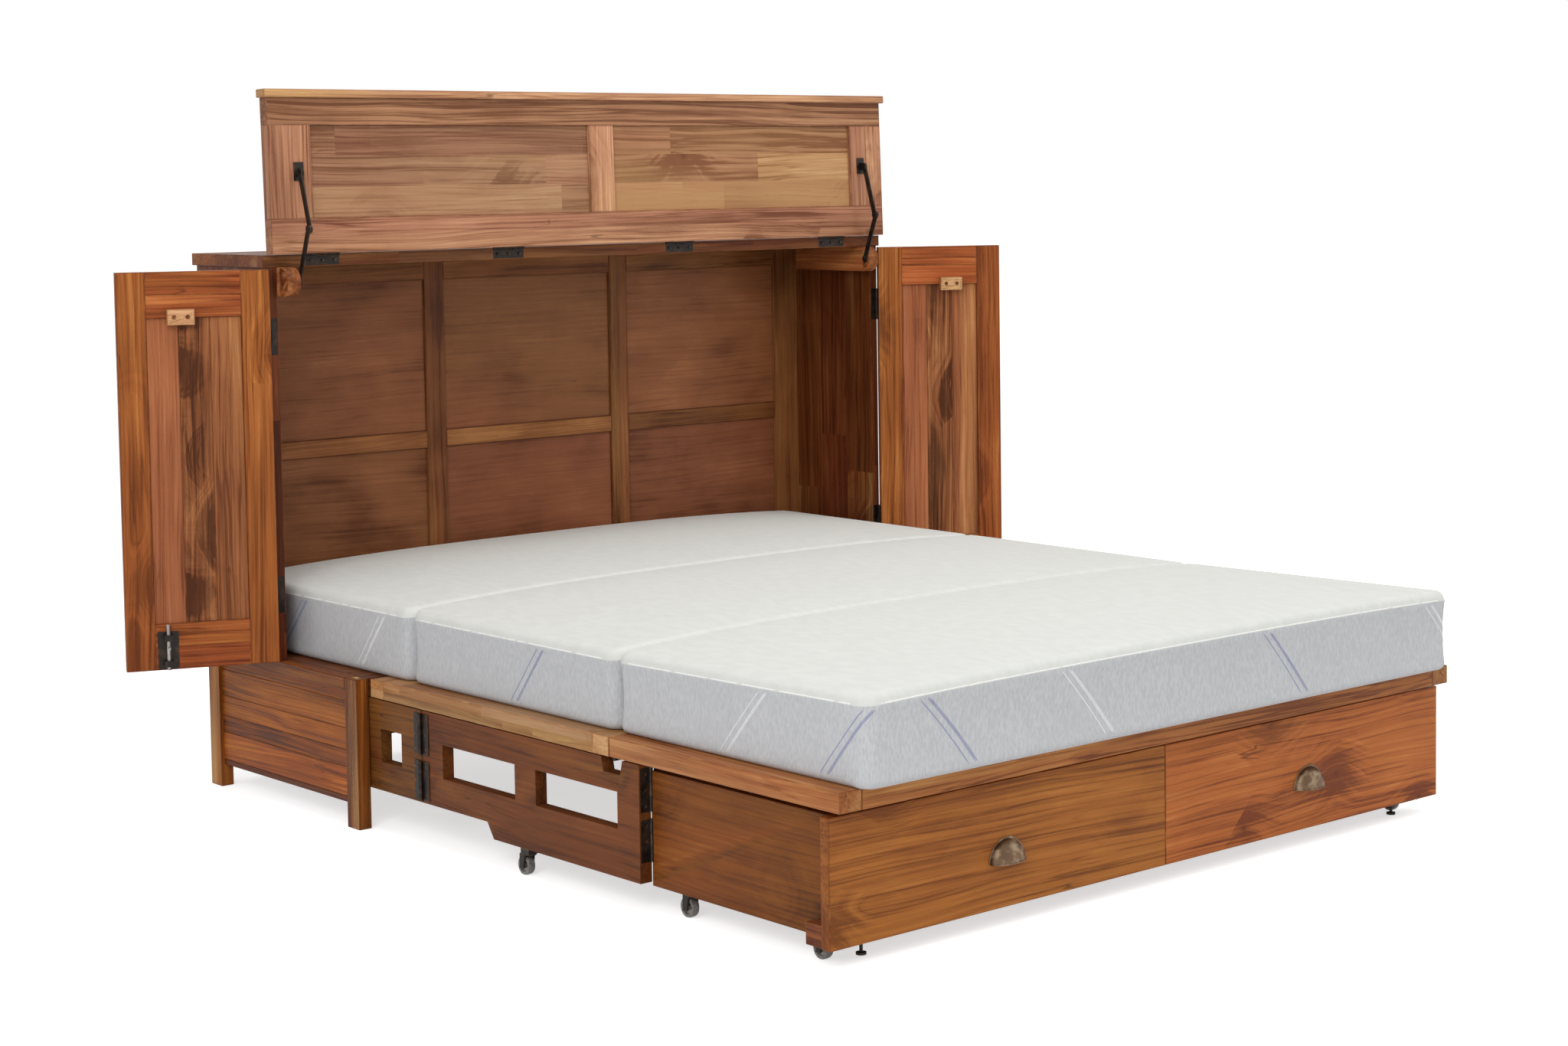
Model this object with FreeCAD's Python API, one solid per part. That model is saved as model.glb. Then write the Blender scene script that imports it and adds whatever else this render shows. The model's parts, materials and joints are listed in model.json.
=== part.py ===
import FreeCAD, Part
import math
import os

# Cabinet bed, shown open: a low base with legs, an upper cabinet with two side doors and a lift-up lid, a
# folding two-part platform, folding side panels, a wide drawer on casters and a three-part mattress.
# Millimetres. The origin is on the floor under the middle of the open bed. +X is to the right seen from the
# foot, -Y points to the foot, +Z is up. Most sizes are given as (x, s, z): x is measured inwards from the
# base's outer side, s is measured forwards from its rear face, and z is measured up from the floor.

# ---- overall sizes ----
cabinet_width = 1645.0
base_depth = 602.0
bed_length = 2058.0
deck_height = 300.0
cabinet_height = 1131.0
upper_depth = 300.0

# ---- board and frame sizes ----
deck_thickness = 36.0
slab_thickness = 25.0
slab_overhang = 10.0
wall_thickness = 20.0
back_thickness = 20.0
back_panel_thickness = 8.0
door_thickness = 24.0
door_rail_height = 46.0
door_stile_width = 57.0
door_panel_thickness = 12.0
leg_width = 28.0
leg_depth = 45.0
base_rail_height = 27.0
base_bottom_gap = 47.0
base_bottom_rail = 12.0
cross_rail_height = 50.0
plank_heights = (21.0, 56.0, 43.0, 35.0)
plank_thickness = 14.0
plank_recess = 7.0
side_panel_thickness = 25.0
side_panel_inset = 30.0
side_panel_length = 700.0
side_panel_low = 82.0
side_panel_drop = 2.0
rear_pivot_s = 90.0
front_panel_low = 52.0
step_start = 1011.0
step_end = 1032.0
notch_before = 25.0
notch_after = 37.0
notch_depth = 26.0
notch_slope = 6.0
window_low = 139.0
window_high = 205.0
rear_windows = ((640.0, 716.0),)
front_windows = ((862.0, 1105.0), (1172.0, 1424.0))
platform_edge_inset = 29.0
platform_middle_length = 794.0
platform_foot_length = 622.0
platform_end_board = 48.0
platform_side_rail = 48.0
platform_panel_thickness = 18.0
drawer_depth = 509.0
drawer_front_thickness = 22.0
drawer_board = 16.0
drawer_floor = 9.0
drawer_front_bottom = 35.5
drawer_front_drop = 9.5
drawer_box_bottom = 45.5
drawer_box_drop = 14.0
drawer_floor_lift = 12.0
drawer_front_inset = 28.0
corner_block_depth = 42.0
corner_block_low = 36.0
corner_block_height = 38.0
lid_height = 335.0
lid_thickness = 25.0
lid_cap_thickness = 17.0
lid_cap_depth = 34.0
lid_overhang = 2.0
lid_rear_rail = 71.0
lid_front_rail = 55.0
lid_stile_end = 46.0
lid_strip = 50.0
lid_centre_stile = 66.0
lid_panel_recess = 6.0
lid_opening = 92.0
outer_stile_end = 94.0
inner_stile_offset = 253.5
inner_stile_width = 50.0
back_rail_height = 50.0
back_middle_low = 679.0
back_middle_high = 717.0
cleat_inner = 55.0
nose_x = 25.0
cleat_height = 60.0
cleat_start = 60.0
cleat_reach = 38.0
left_door_opening = 112.0
right_door_opening = 60.0
mattress_side_room = 60.5
mattress_length = 2032.0
mattress_height = 169.0
mattress_side_fall = 14.0
mattress_head_gap = 26.0
crown_height = 7.0
shoulder_radius = 26.0
foot_radius = 14.0
side_draw = 4.0

# ---- clearances ----
board_gap = 3.0
fold_gap = 1.0
seat_gap = 0.3
pin_clearance = 0.05
knuckle_gap = 0.4
swing_room = 1.5

# ---- hardware sizes ----
leaf_thickness = 2.0
barrel_radius = 4.0
pin_radius = 2.2
knee_barrel_radius = 5.0
deck_hinge_length = 90.0
deck_leaf_reach = 32.0
fold_leaf_reach = 17.0
knee_leaf_width = 25.0
corner_leaf_width = 22.0
knee_hinges = ((88.0, 164.0), (177.0, 256.0))
lid_hinge_length = 78.0
outer_lid_hinges = (127.0, 142.0)
inner_lid_hinges = (583.0, 597.0)
lid_barrel = 3.4
door_hinge_height = 75.0
door_hinge_rise = 136.5
door_hinge_drop = 140.5
door_leaf_width = 18.0
door_barrel = 3.6
arm_thickness = 3.0
arm_gap = 0.6
arm_width = 13.0
eye_radius = 9.0
stay_pin = 3.0
rivet_radius = 5.5
rivet_height = 1.7
stay_lower_offset = (25.0, -54.0)
stay_elbow_offset = (66.0, 52.0)
stay_upper_offset = (31.0, 167.0)
bracket_width = 22.0
bracket_height = 38.0
bolt_inset = 82.0
bolt_x = 34.0
bolt_radius = 4.0
bolt_length = 92.0
bolt_travel = 12.0
bolt_plate_width = 41.0
bolt_plate_height = 78.0
catch_radius = 7.0
catch_depth = 8.0
catch_block_reach = 178.0
catch_block_width = 53.0
catch_block_depth = 18.0
catch_block_height = 31.0
catch_block_drop = 109.0
pull_x = 424.5
pull_low = 115.0
pull_radius = 40.0
pull_depth = 24.0
pull_wall = 2.0
wheel_radius = 18.5
wheel_width = 16.0
axle_radius = 3.0
caster_trail = 12.0
caster_top = 45.5
plate_thickness = 3.5
plate_half = 12.5
crown_thickness = 2.5
stem_radius = 5.0
fork_half = 12.0
fork_cheek = 2.5
panel_caster_s = 1132.0
drawer_caster_x = 78.0
drawer_rear_caster_s = 1578.0
drawer_front_caster_s = 1935.0
leveller_x = 126.0
leveller_lift = 6.0

half_width = cabinet_width / 2
middle_s = bed_length / 2
slab_bottom = cabinet_height - slab_thickness
deck_bottom = deck_height - deck_thickness
side_panel_top = deck_bottom - side_panel_drop
drawer_front_top = deck_bottom - drawer_front_drop
drawer_box_top = deck_bottom - drawer_box_drop
deck_hinges = (190.0, half_width, cabinet_width - 190.0)
fold_hinges = (85.0, half_width, cabinet_width - 85.0)
deck_front = base_depth - board_gap
deck_axis_s = deck_front + barrel_radius + 0.5
middle_start = deck_axis_s + barrel_radius + 0.5
middle_end = middle_start + platform_middle_length
fold_s = middle_end + fold_gap
bolt_s = base_depth - bolt_inset
X_AXIS = FreeCAD.Vector(1, 0, 0)
Y_AXIS = FreeCAD.Vector(0, 1, 0)
Z_AXIS = FreeCAD.Vector(0, 0, 1)

os.makedirs("parts", exist_ok=True)


def point(x, s, z):
    """A point from its distance inwards from the left side, forwards from the rear and up from the floor."""
    return FreeCAD.Vector(x - half_width, middle_s - s, z)


def block(x0, x1, s0, s1, z0, z1):
    return Part.makeBox(x1 - x0, s1 - s0, z1 - z0, point(x0, s1, z0))


def rod(x, s, z, radius, length, axis):
    """A cylinder that starts at (x, s, z) and runs along +X, +Y or +Z."""
    return Part.makeCylinder(radius, length, point(x, s, z), axis)


def prism(outline, x0, x1):
    """A board of constant thickness from x0 to x1 whose outline is a list of (s, z) corners."""
    wire = Part.makePolygon([point(x0, s, z) for s, z in outline + outline[:1]])
    return Part.Face(wire).extrude(X_AXIS * (x1 - x0))


def mirrored(shape):
    return shape.mirror(FreeCAD.Vector(0, 0, 0), X_AXIS)


def turned(shape, pivot, axis, degrees):
    moved = shape.copy()
    moved.rotate(pivot, axis, degrees)
    return moved


def rounded(solid, radius):
    return solid.makeFillet(radius, solid.Edges)


def eased(board, size):
    """A board with small bevels along its long edges."""
    longest = max(edge.Length for edge in board.Edges)
    return board.makeChamfer(size, [edge for edge in board.Edges if edge.Length > 0.99 * longest])


def save(name, solids):
    """Writes one sub-part as a group of separate solids."""
    parts = []
    for shape in solids:
        parts += shape.Solids
    Part.makeCompound(parts).exportStep("parts/%s.step" % name)


def save_pair(name, solids):
    save(name + "_left", solids)
    save(name + "_right", [mirrored(solid) for solid in solids])


def hinge(centre, axis, length, radius, fixed_leaf, moving_leaf):
    """A three-knuckle hinge as (fixed side, moving side). The fixed side holds the outer knuckles and pin."""
    start = centre - axis * (length / 2)
    third = length / 3
    ends = (start, start + axis * (2 * third))
    outer = [Part.makeCylinder(radius, third, place, axis) for place in ends]
    outer_room = [Part.makeCylinder(radius * swing_room, third, place, axis) for place in ends]
    middle = Part.makeCylinder(radius, third - 2 * knuckle_gap, start + axis * (third + knuckle_gap), axis)
    middle_room = Part.makeCylinder(radius * swing_room, third, start + axis * third, axis)
    pin = Part.makeCylinder(pin_radius, length, start, axis)
    bore = Part.makeCylinder(pin_radius + pin_clearance, length, start, axis)
    fixed = fixed_leaf.cut(middle_room).fuse(outer + [pin])
    moving = moving_leaf.cut(outer_room).fuse(middle).cut(bore)
    return fixed.removeSplitter(), moving.removeSplitter()


# ---- base: two leg frames with planked sides, joined by cross rails, under a fixed deck ----
panel_start = leg_depth
panel_end = base_depth - leg_depth
plank_top = deck_height - base_rail_height
bottom_rail_top = base_bottom_gap + base_bottom_rail
catch_x = leg_width / 2
catch_s = base_depth - leg_depth / 2
rear_leg = block(0, leg_width, 0, leg_depth, 0, deck_height)
front_leg = block(0, leg_width, panel_end, base_depth, 0, deck_height)
front_leg = front_leg.cut(rod(catch_x, catch_s, deck_height - catch_depth, catch_radius, catch_depth, Z_AXIS))
top_rail = block(0, leg_width, panel_start, panel_end, plank_top, deck_height)
bottom_rail = block(plank_recess, leg_width, panel_start, panel_end, base_bottom_gap, bottom_rail_top)
save_pair("base_frame", [rear_leg, front_leg, top_rail, bottom_rail])

planks = []
for height in plank_heights + (plank_top - sum(plank_heights) - bottom_rail_top,):
    plank_low = plank_top - height
    board = block(plank_recess, plank_recess + plank_thickness, panel_start, panel_end, plank_low, plank_top)
    planks.append(eased(board, 1.0))
    plank_top = plank_low
save("base_side_planks", planks + [mirrored(board) for board in planks])

pivot_x = side_panel_inset + side_panel_thickness
inner_left = leg_width
inner_right = cabinet_width - leg_width
cross_rails = []
for low in (deck_bottom - cross_rail_height, base_bottom_gap):
    cross_rails.append(block(inner_left, inner_right, 0, back_thickness, low, low + cross_rail_height))
post_front = rear_pivot_s - fold_gap
post = block(inner_left, pivot_x, back_thickness, post_front, side_panel_low, side_panel_top)
pocket_low = side_panel_low - 1
pocket_high = side_panel_top + 1
post_pocket = block(0, pivot_x + 1, post_front - leaf_thickness, post_front + 1, pocket_low, pocket_high)
barrel_space = barrel_radius + knuckle_gap
post_room = rod(pivot_x, rear_pivot_s, pocket_low, barrel_space, pocket_high - pocket_low, Z_AXIS)
post = post.cut([post_pocket, post_room])
save("base_cross_rails", cross_rails + [post, mirrored(post)])

deck_axis_z = deck_height - barrel_radius
deck = block(inner_left, inner_right, 0, deck_front, deck_bottom, deck_height)
deck_leaves = []
middle_leaves = []
leaf_low = deck_height - leaf_thickness
for x in deck_hinges:
    x0 = x - deck_hinge_length / 2
    x1 = x + deck_hinge_length / 2
    rear = block(x0, x1, deck_front - deck_leaf_reach, deck_axis_s, leaf_low, deck_height)
    front = block(x0, x1, deck_axis_s, deck_axis_s + deck_leaf_reach, leaf_low, deck_height)
    centre = point(x, deck_axis_s, deck_axis_z)
    fixed, moving = hinge(centre, X_AXIS, deck_hinge_length, barrel_radius, rear, front)
    deck_leaves.append(fixed)
    middle_leaves.append(moving)
    deck = deck.cut(block(x0, x1, deck_front - deck_leaf_reach, deck_front + 1, leaf_low, deck_height + 1))
bolt_hole = rod(bolt_x, bolt_s, deck_height - bolt_travel - 2, bolt_radius + 0.5, bolt_travel + 2, Z_AXIS)
deck = deck.cut([bolt_hole, mirrored(bolt_hole)])
save("base_deck", [deck])

# ---- upper cabinet: framed back, side walls and top slab ----
stiles = [(0.0, outer_stile_end)]
for side in (-1, 1):
    centre = half_width + side * inner_stile_offset
    stiles.append((centre - inner_stile_width / 2, centre + inner_stile_width / 2))
stiles.append((cabinet_width - outer_stile_end, cabinet_width))
rails = [(deck_height, deck_height + back_rail_height), (back_middle_low, back_middle_high)]
rails.append((slab_bottom - back_rail_height, slab_bottom))
back_frame = [block(x0, x1, 0, back_thickness, deck_height, slab_bottom) for x0, x1 in stiles]
back_panels = []
panel_s = (back_thickness - back_panel_thickness) / 2
for (_, x0), (x1, _) in zip(stiles[:-1], stiles[1:]):
    back_frame += [block(x0, x1, 0, back_thickness, z0, z1) for z0, z1 in rails]
    for (_, z0), (z1, _) in zip(rails[:-1], rails[1:]):
        back_panels.append(block(x0, x1, panel_s, panel_s + back_panel_thickness, z0, z1))
save("back_frame", back_frame)
save("back_panels", back_panels)

wall = block(0, wall_thickness, back_thickness, upper_depth, deck_height, slab_bottom)
slab_front = upper_depth - fold_gap
slab = block(-slab_overhang, cabinet_width + slab_overhang, 0, slab_front, slab_bottom, cabinet_height)
lid_pivot = point(0, upper_depth, cabinet_height)


def opened_lid(shape):
    return turned(shape, lid_pivot, X_AXIS, -lid_opening)


lid_start = upper_depth + fold_gap
slab_leaves = []
lid_leaves = []
lid_pockets = []
lid_leaf_low = slab_bottom + 2
lid_hinges = (outer_lid_hinges[0], inner_lid_hinges[0])
lid_hinges += (cabinet_width - inner_lid_hinges[1], cabinet_width - outer_lid_hinges[1])
for x in lid_hinges:
    x0 = x - lid_hinge_length / 2
    x1 = x + lid_hinge_length / 2
    rear = block(x0, x1, slab_front - leaf_thickness, slab_front, lid_leaf_low, cabinet_height)
    front = opened_lid(block(x0, x1, lid_start, lid_start + leaf_thickness, lid_leaf_low, cabinet_height))
    centre = point(x, upper_depth, cabinet_height)
    fixed, moving = hinge(centre, X_AXIS, lid_hinge_length, lid_barrel, rear, front)
    slab_leaves.append(fixed)
    lid_leaves.append(moving)
    barrel_room = rod(x0, upper_depth, cabinet_height, lid_barrel + knuckle_gap, lid_hinge_length, X_AXIS)
    slab_pocket = block(x0, x1, slab_front - leaf_thickness, lid_start, lid_leaf_low, cabinet_height + 1)
    slab = slab.cut([slab_pocket, barrel_room])
    lid_pocket = block(x0, x1, lid_start - 1, lid_start + leaf_thickness, lid_leaf_low, cabinet_height + 1)
    lid_pockets += [lid_pocket, barrel_room]
save("top_slab", [slab])

# ---- cleats under the slab that carry the lid stays; their round noses stand in front of the walls ----
cleat_low = slab_bottom - cleat_height
nose_s = upper_depth + cleat_reach - cleat_height / 2
nose_z = slab_bottom - cleat_height / 2
cleat = block(nose_x, cleat_inner, cleat_start, nose_s, cleat_low, slab_bottom)
cleat = cleat.fuse(rod(nose_x, nose_s, nose_z, cleat_height / 2, cleat_inner - nose_x, X_AXIS))
cleat_foot = block(wall_thickness, nose_x, cleat_start, upper_depth, cleat_low, slab_bottom)
cleat = cleat.fuse(cleat_foot).removeSplitter()
save("stay_cleats", [cleat, mirrored(cleat)])

# ---- lid, drawn closed and then opened about the slab's front top edge ----
lid_left = -lid_overhang
lid_right = cabinet_width + lid_overhang
lid_low = cabinet_height - lid_thickness
cap_start = upper_depth + lid_height - lid_cap_thickness
front_rail_start = cap_start - lid_front_rail
rear_rail_end = lid_start + lid_rear_rail
rear_rail = block(lid_left, lid_right, lid_start, rear_rail_end, lid_low, cabinet_height).cut(lid_pockets)
lid_frame = [rear_rail, block(lid_left, lid_right, front_rail_start, cap_start, lid_low, cabinet_height)]
strip_end = lid_stile_end + lid_strip
centre_left = half_width - lid_centre_stile / 2
centre_right = half_width + lid_centre_stile / 2
uprights = [(lid_left, lid_stile_end), (lid_stile_end, strip_end), (centre_left, centre_right)]
uprights += [(cabinet_width - x1, cabinet_width - x0) for x0, x1 in uprights[:2]]
for x0, x1 in uprights:
    lid_frame.append(block(x0, x1, rear_rail_end, front_rail_start, lid_low, cabinet_height))
save("lid_frame", [opened_lid(board) for board in lid_frame])

lid_panels = []
for x0, x1 in ((strip_end, centre_left), (centre_right, cabinet_width - strip_end)):
    panel_low = lid_low + lid_panel_recess
    panel = block(x0, x1, rear_rail_end, front_rail_start, panel_low, cabinet_height - lid_panel_recess)
    lid_panels.append(opened_lid(panel))
save("lid_panels", lid_panels)

cap_low = cabinet_height - lid_cap_depth
cap_end = cap_start + lid_cap_thickness
cap = block(-slab_overhang, cabinet_width + slab_overhang, cap_start, cap_end, cap_low, cabinet_height)
save("lid_cap", [opened_lid(rounded(cap, 2.0))])

# ---- lid stays: a lower arm on the cleat and an upper arm on the lid, in planes side by side ----
lower_plane = cleat_inner + fold_gap
upper_plane = lower_plane + arm_thickness + arm_gap
bracket_plane = upper_plane + arm_thickness + arm_gap
stay_pivots = []
for offset_s, offset_z in (stay_lower_offset, stay_elbow_offset, stay_upper_offset):
    stay_pivots.append((upper_depth + offset_s, cabinet_height + offset_z))
stay_lower_pivot, stay_elbow, stay_upper_pivot = stay_pivots


def arm(start, end, x, bored_end):
    """A flat bar with a round eye at each (s, z) pivot; the eye at bored_end has a hole for its pin."""
    run_s = end[0] - start[0]
    run_z = end[1] - start[1]
    length = math.hypot(run_s, run_z)
    side_s = -run_z / length * arm_width / 2
    side_z = run_s / length * arm_width / 2
    corners = []
    for (s, z), sign in ((start, 1), (end, 1), (end, -1), (start, -1)):
        corners.append((s + sign * side_s, z + sign * side_z))
    eyes = [rod(x, s, z, eye_radius, arm_thickness, X_AXIS) for s, z in (start, end)]
    bar = prism(corners, x, x + arm_thickness).fuse(eyes)
    hole = rod(x - 1, bored_end[0], bored_end[1], stay_pin + pin_clearance, arm_thickness + 2, X_AXIS)
    return bar.cut(hole).removeSplitter()


rivet_x = upper_plane + arm_thickness
elbow_rivet = rod(rivet_x, stay_elbow[0], stay_elbow[1], rivet_radius, rivet_height, X_AXIS)
save_pair("stay_lower", [arm(stay_lower_pivot, stay_elbow, lower_plane, stay_lower_pivot)])
upper_arm = arm(stay_elbow, stay_upper_pivot, upper_plane, stay_upper_pivot)
save_pair("stay_upper", [upper_arm.fuse(elbow_rivet).removeSplitter()])
pin_s, pin_z = stay_lower_pivot
lower_pin = rod(cleat_inner, pin_s, pin_z, stay_pin, fold_gap + arm_thickness + 1, X_AXIS)
head_x = lower_plane + arm_thickness + 0.3
lower_head = rod(head_x, pin_s, pin_z, rivet_radius, rivet_height, X_AXIS)
lower_pin = lower_pin.fuse(lower_head).removeSplitter()

bracket_s, bracket_z = stay_upper_pivot
bracket_x = bracket_plane + (arm_thickness - bracket_width) / 2
bracket_base = lid_start + (bracket_z - cabinet_height) - bracket_height / 2
bracket_plate = block(bracket_x, bracket_x + bracket_width, bracket_base, bracket_base + bracket_height,
                      lid_low - leaf_thickness, lid_low)
bracket_plate = opened_lid(bracket_plate)
ear = block(bracket_plane, bracket_plane + arm_thickness, upper_depth + lid_thickness - 20, bracket_s,
            bracket_z - eye_radius, bracket_z + eye_radius)
ear = ear.fuse(rod(bracket_plane, bracket_s, bracket_z, eye_radius, arm_thickness, X_AXIS))
lid_space = block(0, cabinet_width, lid_start - 100, cap_end, lid_low - 0.5, cabinet_height + 100)
ear = ear.cut(opened_lid(lid_space))
pin_reach = arm_thickness + arm_gap + 2
bracket_pin = rod(upper_plane - fold_gap, bracket_s, bracket_z, stay_pin, pin_reach, X_AXIS)
bracket = bracket_plate.fuse([ear, bracket_pin]).removeSplitter()
save("lid_hardware", lid_leaves + [bracket, mirrored(bracket)])

# ---- doors, drawn closed and then opened about the wall's front outer edge ----
door_low = deck_height + board_gap
door_high = slab_bottom - board_gap
door_start = upper_depth + fold_gap
door_end = base_depth
stile_end = door_start + door_stile_width
lock_start = door_end - door_stile_width
hinge_line = upper_depth + fold_gap / 2
door_frame = []
for s0, s1 in ((door_start, stile_end), (lock_start, door_end)):
    door_frame.append(block(0, door_thickness, s0, s1, door_low, door_high))
for n in range(2):
    inset = n * door_rail_height
    for low in (door_low + inset, door_high - inset - door_rail_height):
        door_frame.append(block(0, door_thickness, stile_end, lock_start, low, low + door_rail_height))
door_boards = []
board_width = (lock_start - stile_end) / 3
board_low = door_low + 2 * door_rail_height
board_high = door_high - 2 * door_rail_height
board_outer = (door_thickness - door_panel_thickness) / 2
for n in range(3):
    start = stile_end + n * board_width
    end = start + board_width
    board = block(board_outer, board_outer + door_panel_thickness, start, end, board_low, board_high)
    door_boards.append(eased(board, 0.8))
wall_leaves = []
door_leaves = []
for z in (deck_height + door_hinge_rise, slab_bottom - door_hinge_drop):
    low = z - door_hinge_height / 2
    high = z + door_hinge_height / 2
    rear = block(0, door_leaf_width, upper_depth - leaf_thickness, upper_depth, low, high)
    front = block(0, door_leaf_width, door_start, door_start + leaf_thickness, low, high)
    centre = point(0, hinge_line, z)
    fixed, moving = hinge(centre, Z_AXIS, door_hinge_height, door_barrel, rear, front)
    wall_leaves.append(fixed)
    door_leaves.append(moving)
    barrel_room = rod(0, hinge_line, low, door_barrel + knuckle_gap, door_hinge_height, Z_AXIS)
    wall = wall.cut([rear, barrel_room])
    door_frame[0] = door_frame[0].cut([front, barrel_room])
save_pair("wall", [wall])

bolt_plate = block(door_thickness, door_thickness + leaf_thickness, bolt_s - bolt_plate_width / 2,
                   bolt_s + bolt_plate_width / 2, door_low + 2, door_low + bolt_plate_height)
guides = []
for z in (door_low + 8, door_low + bolt_plate_height - 18):
    guides.append(block(door_thickness + leaf_thickness, bolt_x + 8, bolt_s - 9, bolt_s + 9, z, z + 12))
bolt_bore = rod(bolt_x, bolt_s, door_low, bolt_radius + pin_clearance, bolt_plate_height, Z_AXIS)
bolt_case = bolt_plate.fuse(guides).cut(bolt_bore).removeSplitter()
bolt = rod(bolt_x, bolt_s, door_low + 1, bolt_radius, bolt_length, Z_AXIS)
bolt = bolt.fuse(rod(bolt_x, bolt_s, door_low + bolt_length / 2, 2.5, 14, X_AXIS)).removeSplitter()
block_s = upper_depth + catch_block_reach
catch_block_low = slab_bottom - catch_block_drop
catch_block = block(door_thickness, door_thickness + catch_block_depth, block_s - catch_block_width / 2,
                    block_s + catch_block_width / 2, catch_block_low, catch_block_low + catch_block_height)
for side in (-1, 1):
    hole_s = block_s + side * catch_block_width / 4
    hole_z = catch_block_low + catch_block_height / 2
    catch_block = catch_block.cut(rod(door_thickness + 8, hole_s, hole_z, 4.5, catch_block_depth, X_AXIS))
door_fittings = door_leaves + [bolt_case, catch_block]
for side, opening in (("left", -left_door_opening), ("right", right_door_opening)):
    groups = {"frame": door_frame, "panel": door_boards, "fittings": door_fittings, "bolt": [bolt]}
    pivot = point(0, hinge_line, 0)
    for name, solids in groups.items():
        if side == "right":
            solids = [mirrored(solid) for solid in solids]
            pivot = point(cabinet_width, hinge_line, 0)
        save("door_%s_%s" % (name, side), [turned(solid, pivot, Z_AXIS, opening) for solid in solids])

# ---- folding side panels: a rear panel hinged to the base, a front panel hinged to it and to the drawer ----
knee_s = rear_pivot_s + side_panel_length
knee_x = side_panel_inset - knee_barrel_radius
drawer_pivot_s = knee_s + side_panel_length
rear_outline = [(rear_pivot_s + fold_gap, side_panel_low), (knee_s - fold_gap, side_panel_low)]
rear_outline += [(knee_s - fold_gap, side_panel_top), (rear_pivot_s + fold_gap, side_panel_top)]
rear_panel = prism(rear_outline, side_panel_inset, pivot_x)
front_start = knee_s + fold_gap
front_end = drawer_pivot_s - fold_gap
notch_start = fold_s - notch_before
notch_end = fold_s + notch_after
notch_low = side_panel_top - notch_depth
front_outline = [(front_start, side_panel_low), (step_start, side_panel_low), (step_end, front_panel_low)]
front_outline += [(front_end, front_panel_low), (front_end, side_panel_top), (notch_end, side_panel_top)]
front_outline += [(notch_end - notch_slope, notch_low), (notch_start + notch_slope, notch_low)]
front_outline.append((notch_start, side_panel_top))
front_outline += [(front_start, side_panel_top)]
front_panel = prism(front_outline, side_panel_inset, pivot_x)
for s0, s1 in rear_windows:
    rear_panel = rear_panel.cut(block(0, pivot_x + 1, s0, s1, window_low, window_high))
for s0, s1 in front_windows:
    front_panel = front_panel.cut(block(0, pivot_x + 1, s0, s1, window_low, window_high))

post_leaves = []
rear_leaves = []
front_leaves = []
drawer_leaves = []
for low, high in knee_hinges:
    length = high - low
    middle = (low + high) / 2
    outer_x = side_panel_inset - leaf_thickness
    rear = block(outer_x, side_panel_inset, knee_s - knee_leaf_width, knee_s, low, high)
    front = block(outer_x, side_panel_inset, knee_s, knee_s + knee_leaf_width, low, high)
    fixed, moving = hinge(point(knee_x, knee_s, middle), Z_AXIS, length, knee_barrel_radius, rear, front)
    rear_leaves.append(fixed)
    front_leaves.append(moving)
    corner_lines = ((rear_pivot_s, post_leaves, rear_leaves), (drawer_pivot_s, front_leaves, drawer_leaves))
    for line_s, rear_body, front_body in corner_lines:
        edge = line_s - fold_gap
        rear = block(pivot_x - corner_leaf_width, pivot_x, edge - leaf_thickness, edge, low, high)
        edge = line_s + fold_gap
        front = block(pivot_x - corner_leaf_width, pivot_x, edge, edge + leaf_thickness, low, high)
        if line_s == drawer_pivot_s:
            front = block(pivot_x, pivot_x + corner_leaf_width, edge, edge + leaf_thickness, low, high)
        fixed, moving = hinge(point(pivot_x, line_s, middle), Z_AXIS, length, barrel_radius, rear, front)
        rear_body.append(fixed)
        front_body.append(moving)
        room = rod(pivot_x, line_s, low, barrel_radius + knuckle_gap, length, Z_AXIS)
        if line_s == rear_pivot_s:
            rear_panel = rear_panel.cut([front, room])
        else:
            front_panel = front_panel.cut([rear, room])
knee_room = [rod(knee_x, knee_s, side_panel_low, knee_barrel_radius + knuckle_gap, side_panel_top, Z_AXIS)]
save_pair("rear_side_panel", [rear_panel.cut(knee_room)])
save_pair("front_side_panel", [front_panel.cut(knee_room)])
save_pair("rear_panel_leaves", rear_leaves)

# ---- folding platform: a middle part hinged to the base deck and a foot part hinged under its far edge ----
edge_left = platform_edge_inset
edge_right = cabinet_width - platform_edge_inset
fold_z = deck_bottom - barrel_radius - 1
foot_start = fold_s + fold_gap
foot_end = foot_start + platform_foot_length
panel_bottom = deck_height - platform_panel_thickness
boards_start = middle_start + platform_end_board
boards_end = middle_end - platform_end_board
middle_boards = [block(edge_left, edge_right, middle_start, boards_start, deck_bottom, deck_height)]
middle_boards.append(block(edge_left, edge_right, boards_end, middle_end, deck_bottom, deck_height))
for x0 in (edge_left, edge_right - platform_side_rail):
    x1 = x0 + platform_side_rail
    middle_boards.append(block(x0, x1, boards_start, boards_end, deck_bottom, deck_height))
inner_x0 = edge_left + platform_side_rail
inner_x1 = edge_right - platform_side_rail
middle_boards.append(block(inner_x0, inner_x1, boards_start, boards_end, panel_bottom, deck_height))
foot_boards = []
for x0 in (edge_left, edge_right - platform_side_rail):
    foot_boards.append(block(x0, x0 + platform_side_rail, foot_start, foot_end, deck_bottom, deck_height))
boards_start = foot_start + platform_end_board
boards_end = foot_end - platform_end_board
foot_boards.append(block(inner_x0, inner_x1, foot_start, boards_start, deck_bottom, deck_height))
foot_boards.append(block(inner_x0, inner_x1, boards_end, foot_end, deck_bottom, deck_height))
foot_boards.append(block(inner_x0, inner_x1, boards_start, boards_end, panel_bottom, deck_height))

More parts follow.
